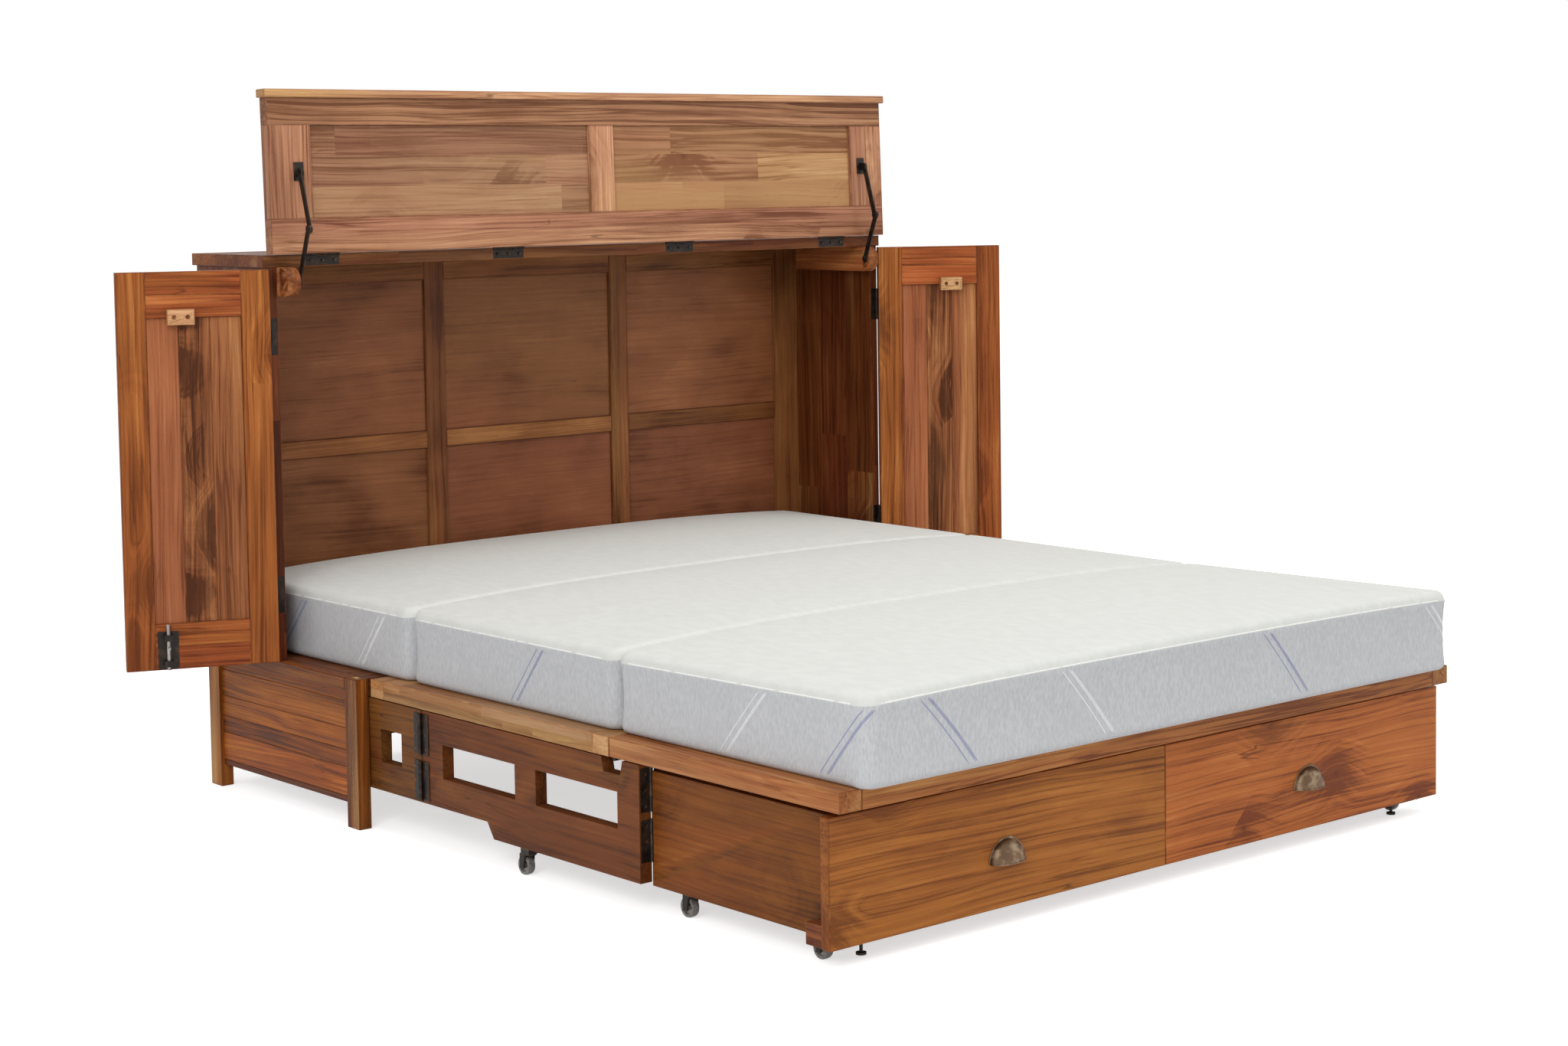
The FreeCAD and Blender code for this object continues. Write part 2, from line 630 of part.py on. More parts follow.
for x in deck_hinges:
    x0 = x - deck_hinge_length / 2
    x1 = x + deck_hinge_length / 2
    pocket = block(x0, x1, deck_axis_s, deck_axis_s + deck_leaf_reach, leaf_low, deck_height + 1)
    barrel_room = rod(x0, deck_axis_s, deck_axis_z, barrel_space, deck_hinge_length, X_AXIS)
    middle_boards[0] = middle_boards[0].cut(pocket.fuse(barrel_room))
foot_leaves = []
for x in fold_hinges:
    x0 = x - deck_hinge_length / 2
    x1 = x + deck_hinge_length / 2
    low = deck_bottom - leaf_thickness
    rear = block(x0, x1, fold_s - fold_leaf_reach, fold_s - fold_gap, low, deck_bottom)
    front = block(x0, x1, fold_s + fold_gap, fold_s + fold_leaf_reach, low, deck_bottom)
    rear = rear.fuse(block(x0, x1, fold_s - barrel_radius, fold_s - fold_gap, fold_z, deck_bottom))
    front = front.fuse(block(x0, x1, fold_s + fold_gap, fold_s + barrel_radius, fold_z, deck_bottom))
    centre = point(x, fold_s, fold_z)
    fixed, moving = hinge(centre, X_AXIS, deck_hinge_length, barrel_radius, rear, front)
    middle_leaves.append(fixed)
    foot_leaves.append(moving)
save("platform_middle", middle_boards)
save("platform_foot", foot_boards)
save("platform_middle_leaves", middle_leaves)
save("platform_foot_leaves", foot_leaves)

# ---- drawer on casters: an open box with a centre divider and two front boards ----
box_rear = drawer_pivot_s + fold_gap
front_face = drawer_pivot_s + drawer_depth
box_front = front_face - drawer_front_thickness
box_left = pivot_x
box_right = cabinet_width - pivot_x
floor_low = drawer_box_bottom + drawer_floor_lift
box_boards = []
for x0 in (box_left, box_right - drawer_board):
    box_boards.append(block(x0, x0 + drawer_board, box_rear, box_front, drawer_box_bottom, drawer_box_top))
x0 = box_left + drawer_board
x1 = box_right - drawer_board
rear_board = block(x0, x1, box_rear, box_rear + drawer_board, drawer_box_bottom, drawer_box_top)
box_boards.append(rear_board)
box_boards.append(block(x0, x1, box_front - drawer_board, box_front, drawer_box_bottom, drawer_box_top))
s0 = box_rear + drawer_board
s1 = box_front - drawer_board
box_boards.append(block(x0, x1, s0, s1, floor_low, floor_low + drawer_floor))
x0 = half_width - drawer_board / 2
box_boards.append(block(x0, x0 + drawer_board, s0, s1, floor_low + drawer_floor, drawer_box_top))
drawer_rooms = []
leaf_end = pivot_x + corner_leaf_width
for low, high in knee_hinges:
    drawer_rooms.append(rod(pivot_x, drawer_pivot_s, low, barrel_space, high - low, Z_AXIS))
    drawer_rooms.append(block(pivot_x, leaf_end, box_rear, box_rear + leaf_thickness, low, high))
drawer_rooms += [mirrored(room) for room in drawer_rooms]
box_boards = [board.cut(drawer_rooms) for board in box_boards]
save("drawer_box", box_boards)

x1 = half_width - fold_gap / 2
board = block(drawer_front_inset, x1, box_front, front_face, drawer_front_bottom, drawer_front_top)
save_pair("drawer_front", [rounded(board, 1.5)])


def dome(radius):
    """A ball squashed in depth, from which the cup pulls are cut."""
    squash = FreeCAD.Matrix()
    squash.scale(1.0, pull_depth / pull_radius, 1.0)
    return Part.makeSphere(radius).transformGeometry(squash)


origin = FreeCAD.Vector(0, 0, 0)
scoop = dome(pull_radius).cut(dome(pull_radius - pull_wall))
rim = Part.makeCylinder(pull_radius + 2, pull_wall, origin, Y_AXIS * -1)
rim = rim.cut(Part.makeCylinder(pull_radius - pull_wall, pull_wall, origin, Y_AXIS * -1))
corner = FreeCAD.Vector(-2 * pull_radius, -2 * pull_radius, 0)
keep = Part.makeBox(4 * pull_radius, 2 * pull_radius, 2 * pull_radius, corner)
pull = scoop.fuse(rim).common(keep).removeSplitter()
pull.translate(point(pull_x, front_face, pull_low))
save("cup_pulls", [pull, mirrored(pull)])

# ---- casters: a plate with a stem under each panel or drawer corner, a swivel fork and a wheel ----
fork_top = caster_top - plate_thickness - 0.5


def caster(x, s, mount_z):
    """Plate with stem, fork with axle, and wheel, for a swivel line at (x, s) below a surface at mount_z."""
    plate_low = caster_top - plate_thickness
    crown_low = fork_top - crown_thickness
    plate = block(x - plate_half, x + plate_half, s - plate_half, s + plate_half, plate_low, mount_z)
    stem = rod(x, s, crown_low, stem_radius, plate_low - crown_low + 1, Z_AXIS)
    plate = plate.fuse(stem).removeSplitter()
    crown = rod(x, s, crown_low, fork_half, crown_thickness, Z_AXIS)
    tail = block(x - fork_half, x + fork_half, s - caster_trail - 5, s, crown_low, fork_top)
    fork = crown.fuse(tail).cut(rod(x, s, 0, stem_radius + pin_clearance, caster_top, Z_AXIS))
    for x0 in (x - fork_half, x + fork_half - fork_cheek):
        cheek = prism([(s - caster_trail - 6, wheel_radius - 6), (s - caster_trail + 6, wheel_radius - 6),
                       (s - 1, fork_top), (s - caster_trail - 5, fork_top)], x0, x0 + fork_cheek)
        fork = fork.fuse(cheek)
    axle = rod(x - fork_half, s - caster_trail, wheel_radius, axle_radius, 2 * fork_half, X_AXIS)
    axle_s = s - caster_trail
    room_start = x - wheel_width / 2 - 0.5
    hub_room = rod(room_start, axle_s, wheel_radius, wheel_radius + 1.5, wheel_width + 1, X_AXIS)
    fork = fork.cut(hub_room.cut(block(0, cabinet_width, 0, bed_length, crown_low, caster_top)))
    fork = fork.fuse(axle).removeSplitter()
    wheel = rod(x - wheel_width / 2, axle_s, wheel_radius, wheel_radius, wheel_width, X_AXIS)
    bore = rod(x - wheel_width, axle_s, wheel_radius, axle_radius + pin_clearance, 2 * wheel_width, X_AXIS)
    return plate, fork, rounded(wheel, 1.5).cut(bore)


panel_middle_x = side_panel_inset + side_panel_thickness / 2
panel_plate, fork, wheel = caster(panel_middle_x, panel_caster_s, front_panel_low)
front_leaves.append(panel_plate)
save_pair("caster_fork_panel", [fork])
save_pair("caster_wheel_panel", [wheel])
drawer_fittings = drawer_leaves
for name, s in (("rear", drawer_rear_caster_s), ("front", drawer_front_caster_s)):
    plate, fork, wheel = caster(drawer_caster_x, s, drawer_box_bottom)
    drawer_fittings.append(plate)
    save_pair("caster_fork_" + name, [fork])
    save_pair("caster_wheel_" + name, [wheel])
save_pair("front_panel_leaves", front_leaves)

block_x = drawer_front_inset + 2
block_high = corner_block_low + corner_block_height
block_rear = box_front - corner_block_depth
corner_block = block(block_x, box_left, block_rear, box_front, corner_block_low, block_high)
x0 = leveller_x - 14
x1 = leveller_x + 14
plate_low = drawer_box_bottom - leaf_thickness
leveller_plate = block(x0, x1, box_front - 34, box_front, plate_low, drawer_box_bottom)
leveller = rod(leveller_x, box_front - 15, leveller_lift, 3.0, drawer_box_bottom - leveller_lift, Z_AXIS)
pad = rod(leveller_x, box_front - 15, leveller_lift, 9.0, 4.0, Z_AXIS)
leveller = leveller.fuse([pad, leveller_plate]).removeSplitter()
drawer_fittings += [corner_block, leveller]
save("drawer_fittings", drawer_fittings + [mirrored(solid) for solid in drawer_fittings])

# ---- fittings fixed to the cabinet: hinge leaves, stay pins and the door catch cups ----
cup = rod(catch_x, catch_s, deck_height - catch_depth, catch_radius, catch_depth + 0.8, Z_AXIS)
cup = cup.cut(rod(catch_x, catch_s, deck_height - catch_depth + 2, catch_radius - 2, catch_depth, Z_AXIS))
paired = wall_leaves + post_leaves + [lower_pin, cup]
save("cabinet_fittings", slab_leaves + deck_leaves + paired + [mirrored(solid) for solid in paired])

# ---- mattress: three foam sections with crowned tops, drawn-in sides and rounded upright corners ----
mattress_low = deck_height + seat_gap
section_length = mattress_length / 3
corner_insets = ((0.0, 12.0), (5.0, 5.0), (15.0, 0.0), (130.0, 0.0), (330.0, 0.0))


def cushion_wire(x, s0, s1, inset, crown):
    """One cross-section at x: flat below, drawn-in ends, rounded shoulders and a crowned top, which also
    falls towards the sides with the cube of the way there."""
    s0 += inset
    s1 -= inset
    way_out = abs(x - half_width) / (half_width - mattress_side_room)
    low = mattress_low + inset / 3
    high = mattress_low + mattress_height - crown_height - mattress_side_fall * way_out ** 3 - inset / 3
    curve = shoulder_radius
    waist = (low + high) / 2
    middle = (s0 + s1) / 2
    top = high + crown
    foot_bend = foot_radius * 0.29
    bend = curve * 0.29
    corners = [(s0 + foot_radius, low), (s1 - foot_radius, low), (s1, low + foot_radius), (s1, high - curve)]
    corners += [(s1 - curve, high), (s0 + curve, high), (s0, high - curve), (s0, low + foot_radius)]
    through = [(s1 - foot_bend, low + foot_bend), (s1 - side_draw, waist), (s1 - bend, high - bend)]
    through += [(middle, top), (s0 + bend, high - bend), (s0 + side_draw, waist)]
    through.append((s0 + foot_bend, low + foot_bend))
    corners = [point(x, s, z) for s, z in corners]
    edges = [Part.LineSegment(corners[0], corners[1]).toShape()]
    for start, (s, z), end in zip(corners[1:], through, corners[2:] + corners[:1]):
        edges.append(Part.Arc(start, point(x, s, z), end).toShape())
    return Part.Wire(edges)


def cushion(s0, s1):
    stations = []
    for offset, inset in corner_insets:
        stations.append((mattress_side_room + offset, inset, crown_height * (1 - inset / 12.0)))
    far = [(cabinet_width - x, inset, crown) for x, inset, crown in reversed(stations)]
    stations += [(half_width, 0.0, crown_height)] + far
    wires = [cushion_wire(x, s0, s1, inset, max(crown, 0.5)) for x, inset, crown in stations]
    return Part.makeLoft(wires, True, True)


for n, name in enumerate(("head", "middle", "foot")):
    s0 = mattress_head_gap + n * section_length + seat_gap
    s1 = mattress_head_gap + (n + 1) * section_length - seat_gap
    save("mattress_" + name, [cushion(s0, s1)])
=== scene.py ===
import json
import math

import bmesh
import bpy
import mathutils
import numpy as np
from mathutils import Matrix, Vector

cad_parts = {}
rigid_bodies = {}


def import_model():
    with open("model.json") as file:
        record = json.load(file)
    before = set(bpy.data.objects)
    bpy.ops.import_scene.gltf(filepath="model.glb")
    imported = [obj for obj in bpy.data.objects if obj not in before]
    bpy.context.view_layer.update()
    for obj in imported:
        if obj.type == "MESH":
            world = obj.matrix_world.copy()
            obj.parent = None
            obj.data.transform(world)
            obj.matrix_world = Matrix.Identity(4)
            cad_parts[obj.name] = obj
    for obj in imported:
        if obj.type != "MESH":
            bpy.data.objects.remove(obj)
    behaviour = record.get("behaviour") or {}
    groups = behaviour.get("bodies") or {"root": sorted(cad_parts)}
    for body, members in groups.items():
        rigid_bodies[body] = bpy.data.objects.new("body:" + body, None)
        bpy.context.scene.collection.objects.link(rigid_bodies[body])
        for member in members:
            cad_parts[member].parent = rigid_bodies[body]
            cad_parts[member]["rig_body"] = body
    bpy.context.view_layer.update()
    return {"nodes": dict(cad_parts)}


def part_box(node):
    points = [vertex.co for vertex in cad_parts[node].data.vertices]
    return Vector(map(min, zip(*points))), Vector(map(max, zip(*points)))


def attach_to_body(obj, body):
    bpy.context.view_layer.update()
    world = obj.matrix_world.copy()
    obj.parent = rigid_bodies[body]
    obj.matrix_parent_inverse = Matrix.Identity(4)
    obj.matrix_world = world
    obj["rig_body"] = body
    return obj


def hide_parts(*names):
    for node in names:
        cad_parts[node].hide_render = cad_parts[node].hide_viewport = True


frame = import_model()


# ---- Leg frames ----
# Each side stands on two planed legs of solid hardwood, joined by a rail at the top and one at the foot.
# The wood is oiled to a warm brown, with figured grain, pale sapwood, small knots and softly rounded corners.

def srgb(red, green, blue):
    """A colour in display values from 0 to 255, turned to the linear values that a shader takes."""
    shown = np.array([red, green, blue]) / 255
    linear = np.where(shown <= 0.04045, shown / 12.92, ((shown + 0.055) / 1.055) ** 2.4)
    return (*linear.tolist(), 1.0)


def shade(tree, kind, inputs=None, **settings):
    """One shader node. Each input is a number, a colour or another node's output."""
    node = tree.nodes.new("ShaderNode" + kind)
    for name, value in settings.items():
        setattr(node, name, value)
    for place, value in (inputs or {}).items():
        if isinstance(value, bpy.types.NodeSocket):
            tree.links.new(value, node.inputs[place])
        else:
            node.inputs[place].default_value = value
    return node


def calc(tree, operation, *values):
    return shade(tree, "Math", dict(enumerate(values)), operation=operation).outputs[0]


def times(tree, first, second):
    return calc(tree, "MULTIPLY", first, second)


def plus(tree, first, second):
    return calc(tree, "ADD", first, second)


def minus(tree, first, second):
    return calc(tree, "SUBTRACT", first, second)


def middle_of(tree, place):
    """The middle one of three measures: for the room left on each axis, the way to the nearest edge."""
    a, b, c = shade(tree, "SeparateXYZ", {0: place}).outputs
    lower = calc(tree, "MINIMUM", a, b)
    upper = calc(tree, "MAXIMUM", a, b)
    return calc(tree, "MAXIMUM", lower, calc(tree, "MINIMUM", upper, c))


def vector_calc(tree, operation, *values):
    node = shade(tree, "VectorMath", dict(enumerate(values)), operation=operation)
    return node.outputs["Value" if operation == "LENGTH" else "Vector"]


def ease(tree, value, start, end, low=0.0, high=1.0):
    """A smooth step: low where value is at start, high where it is at end."""
    inputs = {"Value": value, "From Min": start, "From Max": end, "To Min": low, "To Max": high}
    return shade(tree, "MapRange", inputs, interpolation_type="SMOOTHSTEP").outputs["Result"]


def mix(tree, factor, first, second):
    inputs = {0: factor, 6: first, 7: second}
    return shade(tree, "Mix", inputs, data_type="RGBA").outputs[2]


def cloud(tree, place, stretch, detail=2.0, output=0):
    """Soft noise whose grains are 1 / stretch metres long in each direction."""
    scaled = vector_calc(tree, "MULTIPLY", place, stretch)
    return shade(tree, "TexNoise", {"Vector": scaled, "Scale": 1.0, "Detail": detail}).outputs[output]


def new_group(name, inputs, outputs):
    tree = bpy.data.node_groups.new(name, "ShaderNodeTree")
    for direction, sockets in (("INPUT", inputs), ("OUTPUT", outputs)):
        for socket, kind in sockets:
            tree.interface.new_socket(socket, in_out=direction, socket_type="NodeSocket" + kind)
    return tree, tree.nodes.new("NodeGroupInput").outputs, tree.nodes.new("NodeGroupOutput").inputs


just_under_half = 0.4999
stave_length = 0.62
joint_width = (0.00005, 0.0007)
knots_per_metre = (4.2, 5.4, 0.0)
rings_per_metre = 95
knot_bend = 0.045
wander_reach = (0.0, 0.07, 0.045)


def figured_wood():
    """Solid wood in each board's own directions: staves of unlike tone, bands that follow a wandering pith
    and bend round knots, colour streaks, fibres, pores, cracks, sapwood, cloudy stain, darker end grain and
    worn corners."""
    colours = [(name, "Color") for name in ("Dark", "Middle", "Light", "Sapwood")]
    measures = ("Contrast", "Sap", "Figure", "Knots", "Clouds", "Staves", "Layers", "Polish", "Cracks")
    amounts = [(name, "Float") for name in measures]
    results = [("Color", "Color"), ("Roughness", "Float"), ("Height", "Float")]
    tree, given, result = new_group("figured_wood", colours + amounts, results)
    board = shade(tree, "Attribute", attribute_name="local").outputs["Vector"]
    half = shade(tree, "Attribute", attribute_name="half").outputs["Vector"]
    board_tone = shade(tree, "Attribute", attribute_name="tone").outputs["Fac"]

    share = vector_calc(tree, "ADD", vector_calc(tree, "DIVIDE", board, half), (1.0, 1.0, 1.0))
    stave_count = times(tree, given["Staves"], just_under_half)
    layer_count = times(tree, given["Layers"], just_under_half)
    bands = shade(tree, "CombineXYZ", {1: stave_count, 2: layer_count})
    spread = vector_calc(tree, "MULTIPLY", share, bands.outputs[0])
    stave = vector_calc(tree, "FLOOR", spread)
    seed = shade(tree, "TexWhiteNoise", {"Vector": stave, "W": board_tone}, noise_dimensions="4D")
    many = calc(tree, "GREATER_THAN", plus(tree, given["Staves"], given["Layers"]), 2.5)
    way = shade(tree, "SeparateXYZ", {0: board}).outputs[0]
    length = calc(tree, "DIVIDE", way, stave_length)
    length = plus(tree, length, times(tree, seed.outputs["Value"], 9))
    piece = times(tree, calc(tree, "FLOOR", length), many)
    place_in_piece = calc(tree, "FRACT", length)
    inputs = {"Vector": vector_calc(tree, "ADD", stave, (0.5, 0.5, 0.5)), "W": plus(tree, board_tone, piece)}
    seed = shade(tree, "TexWhiteNoise", inputs, noise_dimensions="4D")
    tone = seed.outputs["Value"]
    second_tone = shade(tree, "SeparateColor", {0: seed.outputs["Color"]}).outputs[1]
    y_cell, z_cell = shade(tree, "SeparateXYZ", {0: spread}).outputs[1:]
    joint = 1.0
    for cell, count, axis in ((y_cell, given["Staves"], 1), (z_cell, given["Layers"], 2)):
        reach = shade(tree, "SeparateXYZ", {0: half}).outputs[axis]
        size = calc(tree, "DIVIDE", reach, times(tree, count, 0.5))
        off_middle = calc(tree, "ABSOLUTE", minus(tree, calc(tree, "FRACT", cell), 0.5))
        edge = times(tree, minus(tree, 0.5, off_middle), size)
        joint = times(tree, joint, ease(tree, edge, *joint_width))
    butt = minus(tree, 0.5, calc(tree, "ABSOLUTE", minus(tree, place_in_piece, 0.5)))
    joint = times(tree, joint, ease(tree, times(tree, butt, stave_length), *joint_width))
    joint = times(tree, minus(tree, 1.0, joint), many)

    jump = shade(tree, "CombineXYZ", {n: times(tree, tone, k) for n, k in enumerate((13.1, 7.7, 3.3))})
    place = vector_calc(tree, "ADD", board, jump.outputs[0])
    wander = vector_calc(tree, "SUBTRACT", cloud(tree, place, (1.1, 3, 3), 2.0, 1), (0.5, 0.5, 0.5))
    wander = vector_calc(tree, "MULTIPLY", wander, wander_reach)
    bent = vector_calc(tree, "ADD", place, wander)
    flat = vector_calc(tree, "MULTIPLY", place, knots_per_metre)
    cells = shade(tree, "TexVoronoi", {"Vector": flat, "Scale": 1.0}, voronoi_dimensions="2D")
    chance = shade(tree, "SeparateColor", {0: cells.outputs["Color"]}).outputs[0]
    present = calc(tree, "LESS_THAN", chance, given["Knots"])
    ragged = times(tree, minus(tree, cloud(tree, place, (26, 40, 40), 3.0), 0.5), 0.09)
    distance = plus(tree, cells.outputs["Distance"], ragged)
    swell = times(tree, ease(tree, distance, 0.5, 0.03), present)
    knot = times(tree, ease(tree, distance, 0.06, 0.0), present)

    pith_across = ease(tree, second_tone, 0, 1, -0.06, 0.06)
    pith = shade(tree, "CombineXYZ", {1: pith_across, 2: ease(tree, tone, 0, 1, 0.025, 0.09)})
    ring_place = vector_calc(tree, "ADD", vector_calc(tree, "ADD", board, wander), pith.outputs[0])
    across = vector_calc(tree, "LENGTH", vector_calc(tree, "MULTIPLY", ring_place, (0.0, 1.0, 1.0)))
    across = plus(tree, across, times(tree, swell, knot_bend))
    along = times(tree, shade(tree, "SeparateXYZ", {0: place}).outputs[0], 0.9)
    turns = {0: along, 1: times(tree, across, rings_per_metre), 2: times(tree, tone, 31)}
    ring = shade(tree, "CombineXYZ", turns)
    inputs = {"Vector": ring.outputs[0], "Scale": 1.0, "Detail": 3.0, "Roughness": 0.55}
    rings = shade(tree, "TexNoise", inputs).outputs[0]

    streak = cloud(tree, bent, (1.0, 11, 11), 3.0)
    fibre = cloud(tree, bent, (3, 170, 170), 3.0)
    stain = cloud(tree, place, (5, 8, 8), 4.0)
    pore = ease(tree, cloud(tree, place, (30, 850, 850), 1.0), 0.62, 0.74)
    figure = times(tree, given["Figure"], 0.5)
    level = ease(tree, tone, 0, 1, 0.43, 0.56)
    for wave, amount in ((rings, figure), (streak, 0.42), (fibre, 0.5), (stain, given["Clouds"])):
        level = plus(tree, level, times(tree, minus(tree, wave, 0.5), amount))
    vein = calc(tree, "ABSOLUTE", minus(tree, cloud(tree, bent, (0.7, 75, 75), 2.0), 0.5))
    level = minus(tree, level, times(tree, ease(tree, vein, 0.05, 0.0), 0.13))
    level = minus(tree, level, times(tree, calc(tree, "POWER", swell, 2.0), 0.22))
    level = plus(tree, 0.5, times(tree, minus(tree, level, 0.5), given["Contrast"]))
    colour = mix(tree, ease(tree, level, 0.22, 0.52), given["Dark"], given["Middle"])
    colour = mix(tree, ease(tree, level, 0.48, 0.8), colour, given["Light"])
    sap_edge = minus(tree, 1.0, given["Sap"])
    sap = ease(tree, minus(tree, cloud(tree, place, (0.5, 8, 8), 2.0), sap_edge), 0.0, 0.07)
    half_pale = mix(tree, 0.5, given["Sapwood"], given["Middle"])
    pale = mix(tree, ease(tree, level, 0.3, 0.6), half_pale, given["Sapwood"])
    colour = mix(tree, times(tree, sap, 0.75), colour, pale)

    heart = mix(tree, 0.6, given["Dark"], (0.012, 0.006, 0.003, 1.0))
    colour = mix(tree, times(tree, knot, 0.8), colour, heart)
    split = calc(tree, "ABSOLUTE", minus(tree, cloud(tree, place, (1.7, 24, 24), 2.0), 0.5))
    split = calc(tree, "DIVIDE", split, given["Cracks"])
    rare = ease(tree, cloud(tree, place, (3, 6, 6)), 0.6, 0.68)
    split = times(tree, ease(tree, split, 0.0055, 0.001), rare)
    for mark, amount in ((split, 0.7), (pore, 0.22), (joint, 0.5)):
        colour = mix(tree, times(tree, mark, amount), colour, heart)
    shift = {"Hue": ease(tree, second_tone, 0, 1, 0.494, 0.507), "Value": ease(tree, tone, 0, 1, 0.88, 1.1)}
    colour = shade(tree, "HueSaturation", {"Color": colour, **shift}).outputs["Color"]

    room = vector_calc(tree, "SUBTRACT", half, vector_calc(tree, "ABSOLUTE", board))
    nearest = middle_of(tree, room)
    patchy = ease(tree, cloud(tree, place, (20, 45, 45)), 0.5, 0.7)
    dark_edge = times(tree, ease(tree, nearest, 0.0028, 0.0008), 0.5)
    colour = mix(tree, dark_edge, colour, given["Dark"])
    worn = times(tree, ease(tree, nearest, 0.0024, 0.0006), patchy)
    colour = mix(tree, times(tree, worn, 0.45), colour, given["Light"])
    end_grain = ease(tree, shade(tree, "SeparateXYZ", {0: room}).outputs[0], 0.0016, 0.0003)
    colour = mix(tree, times(tree, end_grain, 0.35), colour, given["Dark"])
    tree.links.new(colour, result["Color"])

    gloss = plus(tree, given["Polish"], times(tree, minus(tree, fibre, 0.5), 0.26))
    gloss = plus(tree, gloss, times(tree, pore, 0.12))
    tree.links.new(plus(tree, gloss, times(tree, stain, 0.1)), result["Roughness"])
    relief = minus(tree, times(tree, fibre, 0.5), times(tree, pore, 0.5))
    relief = plus(tree, relief, times(tree, rings, 0.2))
    relief = minus(tree, relief, plus(tree, times(tree, split, 1.2), times(tree, knot, 0.3)))
    tree.links.new(minus(tree, relief, times(tree, joint, 0.6)), result["Height"])
    return tree


wood_pattern = figured_wood()


def wood(name, dark, middle, light, sapwood=(205, 160, 105), **amounts):
    material = bpy.data.materials.new(name)
    material.use_nodes = True
    tree = material.node_tree
    values = {"Dark": srgb(*dark), "Middle": srgb(*middle), "Light": srgb(*light), "Sapwood": srgb(*sapwood)}
    usual = {"contrast": 1.4, "sap": 0.35, "figure": 0.9, "knots": 0.2, "clouds": 0.25}
    usual |= {"staves": 1, "layers": 1, "polish": 0.38, "cracks": 1}
    values.update({key.capitalize(): float(value) for key, value in (usual | amounts).items()})
    grain = tree.nodes.new("ShaderNodeGroup")
    grain.node_tree = wood_pattern
    for key, value in values.items():
        grain.inputs[key].default_value = value
    finish = tree.nodes["Principled BSDF"]
    tree.links.new(grain.outputs["Color"], finish.inputs["Base Color"])
    tree.links.new(grain.outputs["Roughness"], finish.inputs["Roughness"])
    bump = shade(tree, "Bump", {"Height": grain.outputs["Height"], "Strength": 0.6, "Distance": 0.0005})
    tree.links.new(bump.outputs["Normal"], finish.inputs["Normal"])
    finish.inputs["Specular IOR Level"].default_value = 0.12
    return material


def solids_of(node):
    """A CAD node's closed solids, each as (points, triangles). Triangles are read in their own order, and a
    solid is whole when each edge that was walked one way has been walked the other way too."""
    mesh = frame["nodes"][node].data
    mesh.calc_loop_triangles()
    points = np.empty(3 * len(mesh.vertices))
    mesh.vertices.foreach_get("co", points)
    corners = np.empty(3 * len(mesh.loop_triangles), np.int32)
    mesh.loop_triangles.foreach_get("vertices", corners)
    points, place = np.unique(points.reshape(-1, 3).round(6), axis=0, return_inverse=True)
    triangles = place.reshape(-1)[corners].reshape(-1, 3)
    triangles = triangles[(triangles != np.roll(triangles, 1, axis=1)).all(axis=1)]
    found = []
    start = 0
    waiting = {}
    for n, (a, b, c) in enumerate(triangles.tolist()):
        for edge in ((a, b), (b, c), (c, a)):
            back = edge[::-1]
            if waiting.get(back):
                waiting[back] -= 1
                if not waiting[back]:
                    del waiting[back]
            else:
                waiting[edge] = waiting.get(edge, 0) + 1
        if not waiting:
            used, small = np.unique(triangles[start:n + 1], return_inverse=True)
            found.append((points[used], small.reshape(-1, 3)))
            start = n + 1
    return found


def corners_and_normals(points, triangles):
    """Each triangle's three corners, its normal, as long as twice its area, and that length."""
    a, b, c = (points[triangles[:, k]] for k in range(3))
    normals = np.cross(b - a, c - a)
    return (a, b, c), normals, np.linalg.norm(normals, axis=1) + 1e-15


def own_directions(points, triangles):
    """A board's long, wide and thick directions: those that its faces turn to least, more and most, by
    area."""
    _, normals, area = corners_and_normals(points, triangles)
    directions = np.linalg.eigh((normals / area[:, None]).T @ normals)[1].T
    strongest = directions[range(3), np.abs(directions).argmax(axis=1)]
    return directions * np.sign(strongest)[:, None]


def soften(mesh, crisp_above):
    mesh.shade_smooth()
    mesh.set_sharp_from_angle(angle=math.radians(crisp_above))


def put_mesh(name, points, faces, body, materials, smooth=None):
    """A new piece that rides on a body. Edges sharper than smooth, in degrees, stay crisp; None leaves it
    flat."""
    mesh = bpy.data.meshes.new(name)
    mesh.from_pydata(points, [], faces)
    for material in materials:
        mesh.materials.append(material)
    piece = bpy.data.objects.new(name, mesh)
    bpy.context.scene.collection.objects.link(piece)
    if smooth is not None:
        soften(mesh, smooth)
    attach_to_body(piece, body)
    return piece


def attach(piece, name, values):
    """One number or one vector for each point, which the piece's material reads."""
    kind, field = ("FLOAT", "value") if values.ndim == 1 else ("FLOAT_VECTOR", "vector")
    piece.data.attributes.new(name, kind, "POINT").data.foreach_set(field, values.ravel())


tones = np.random.default_rng(11)
flat_within = 0.01
rounded_above = math.radians(40)


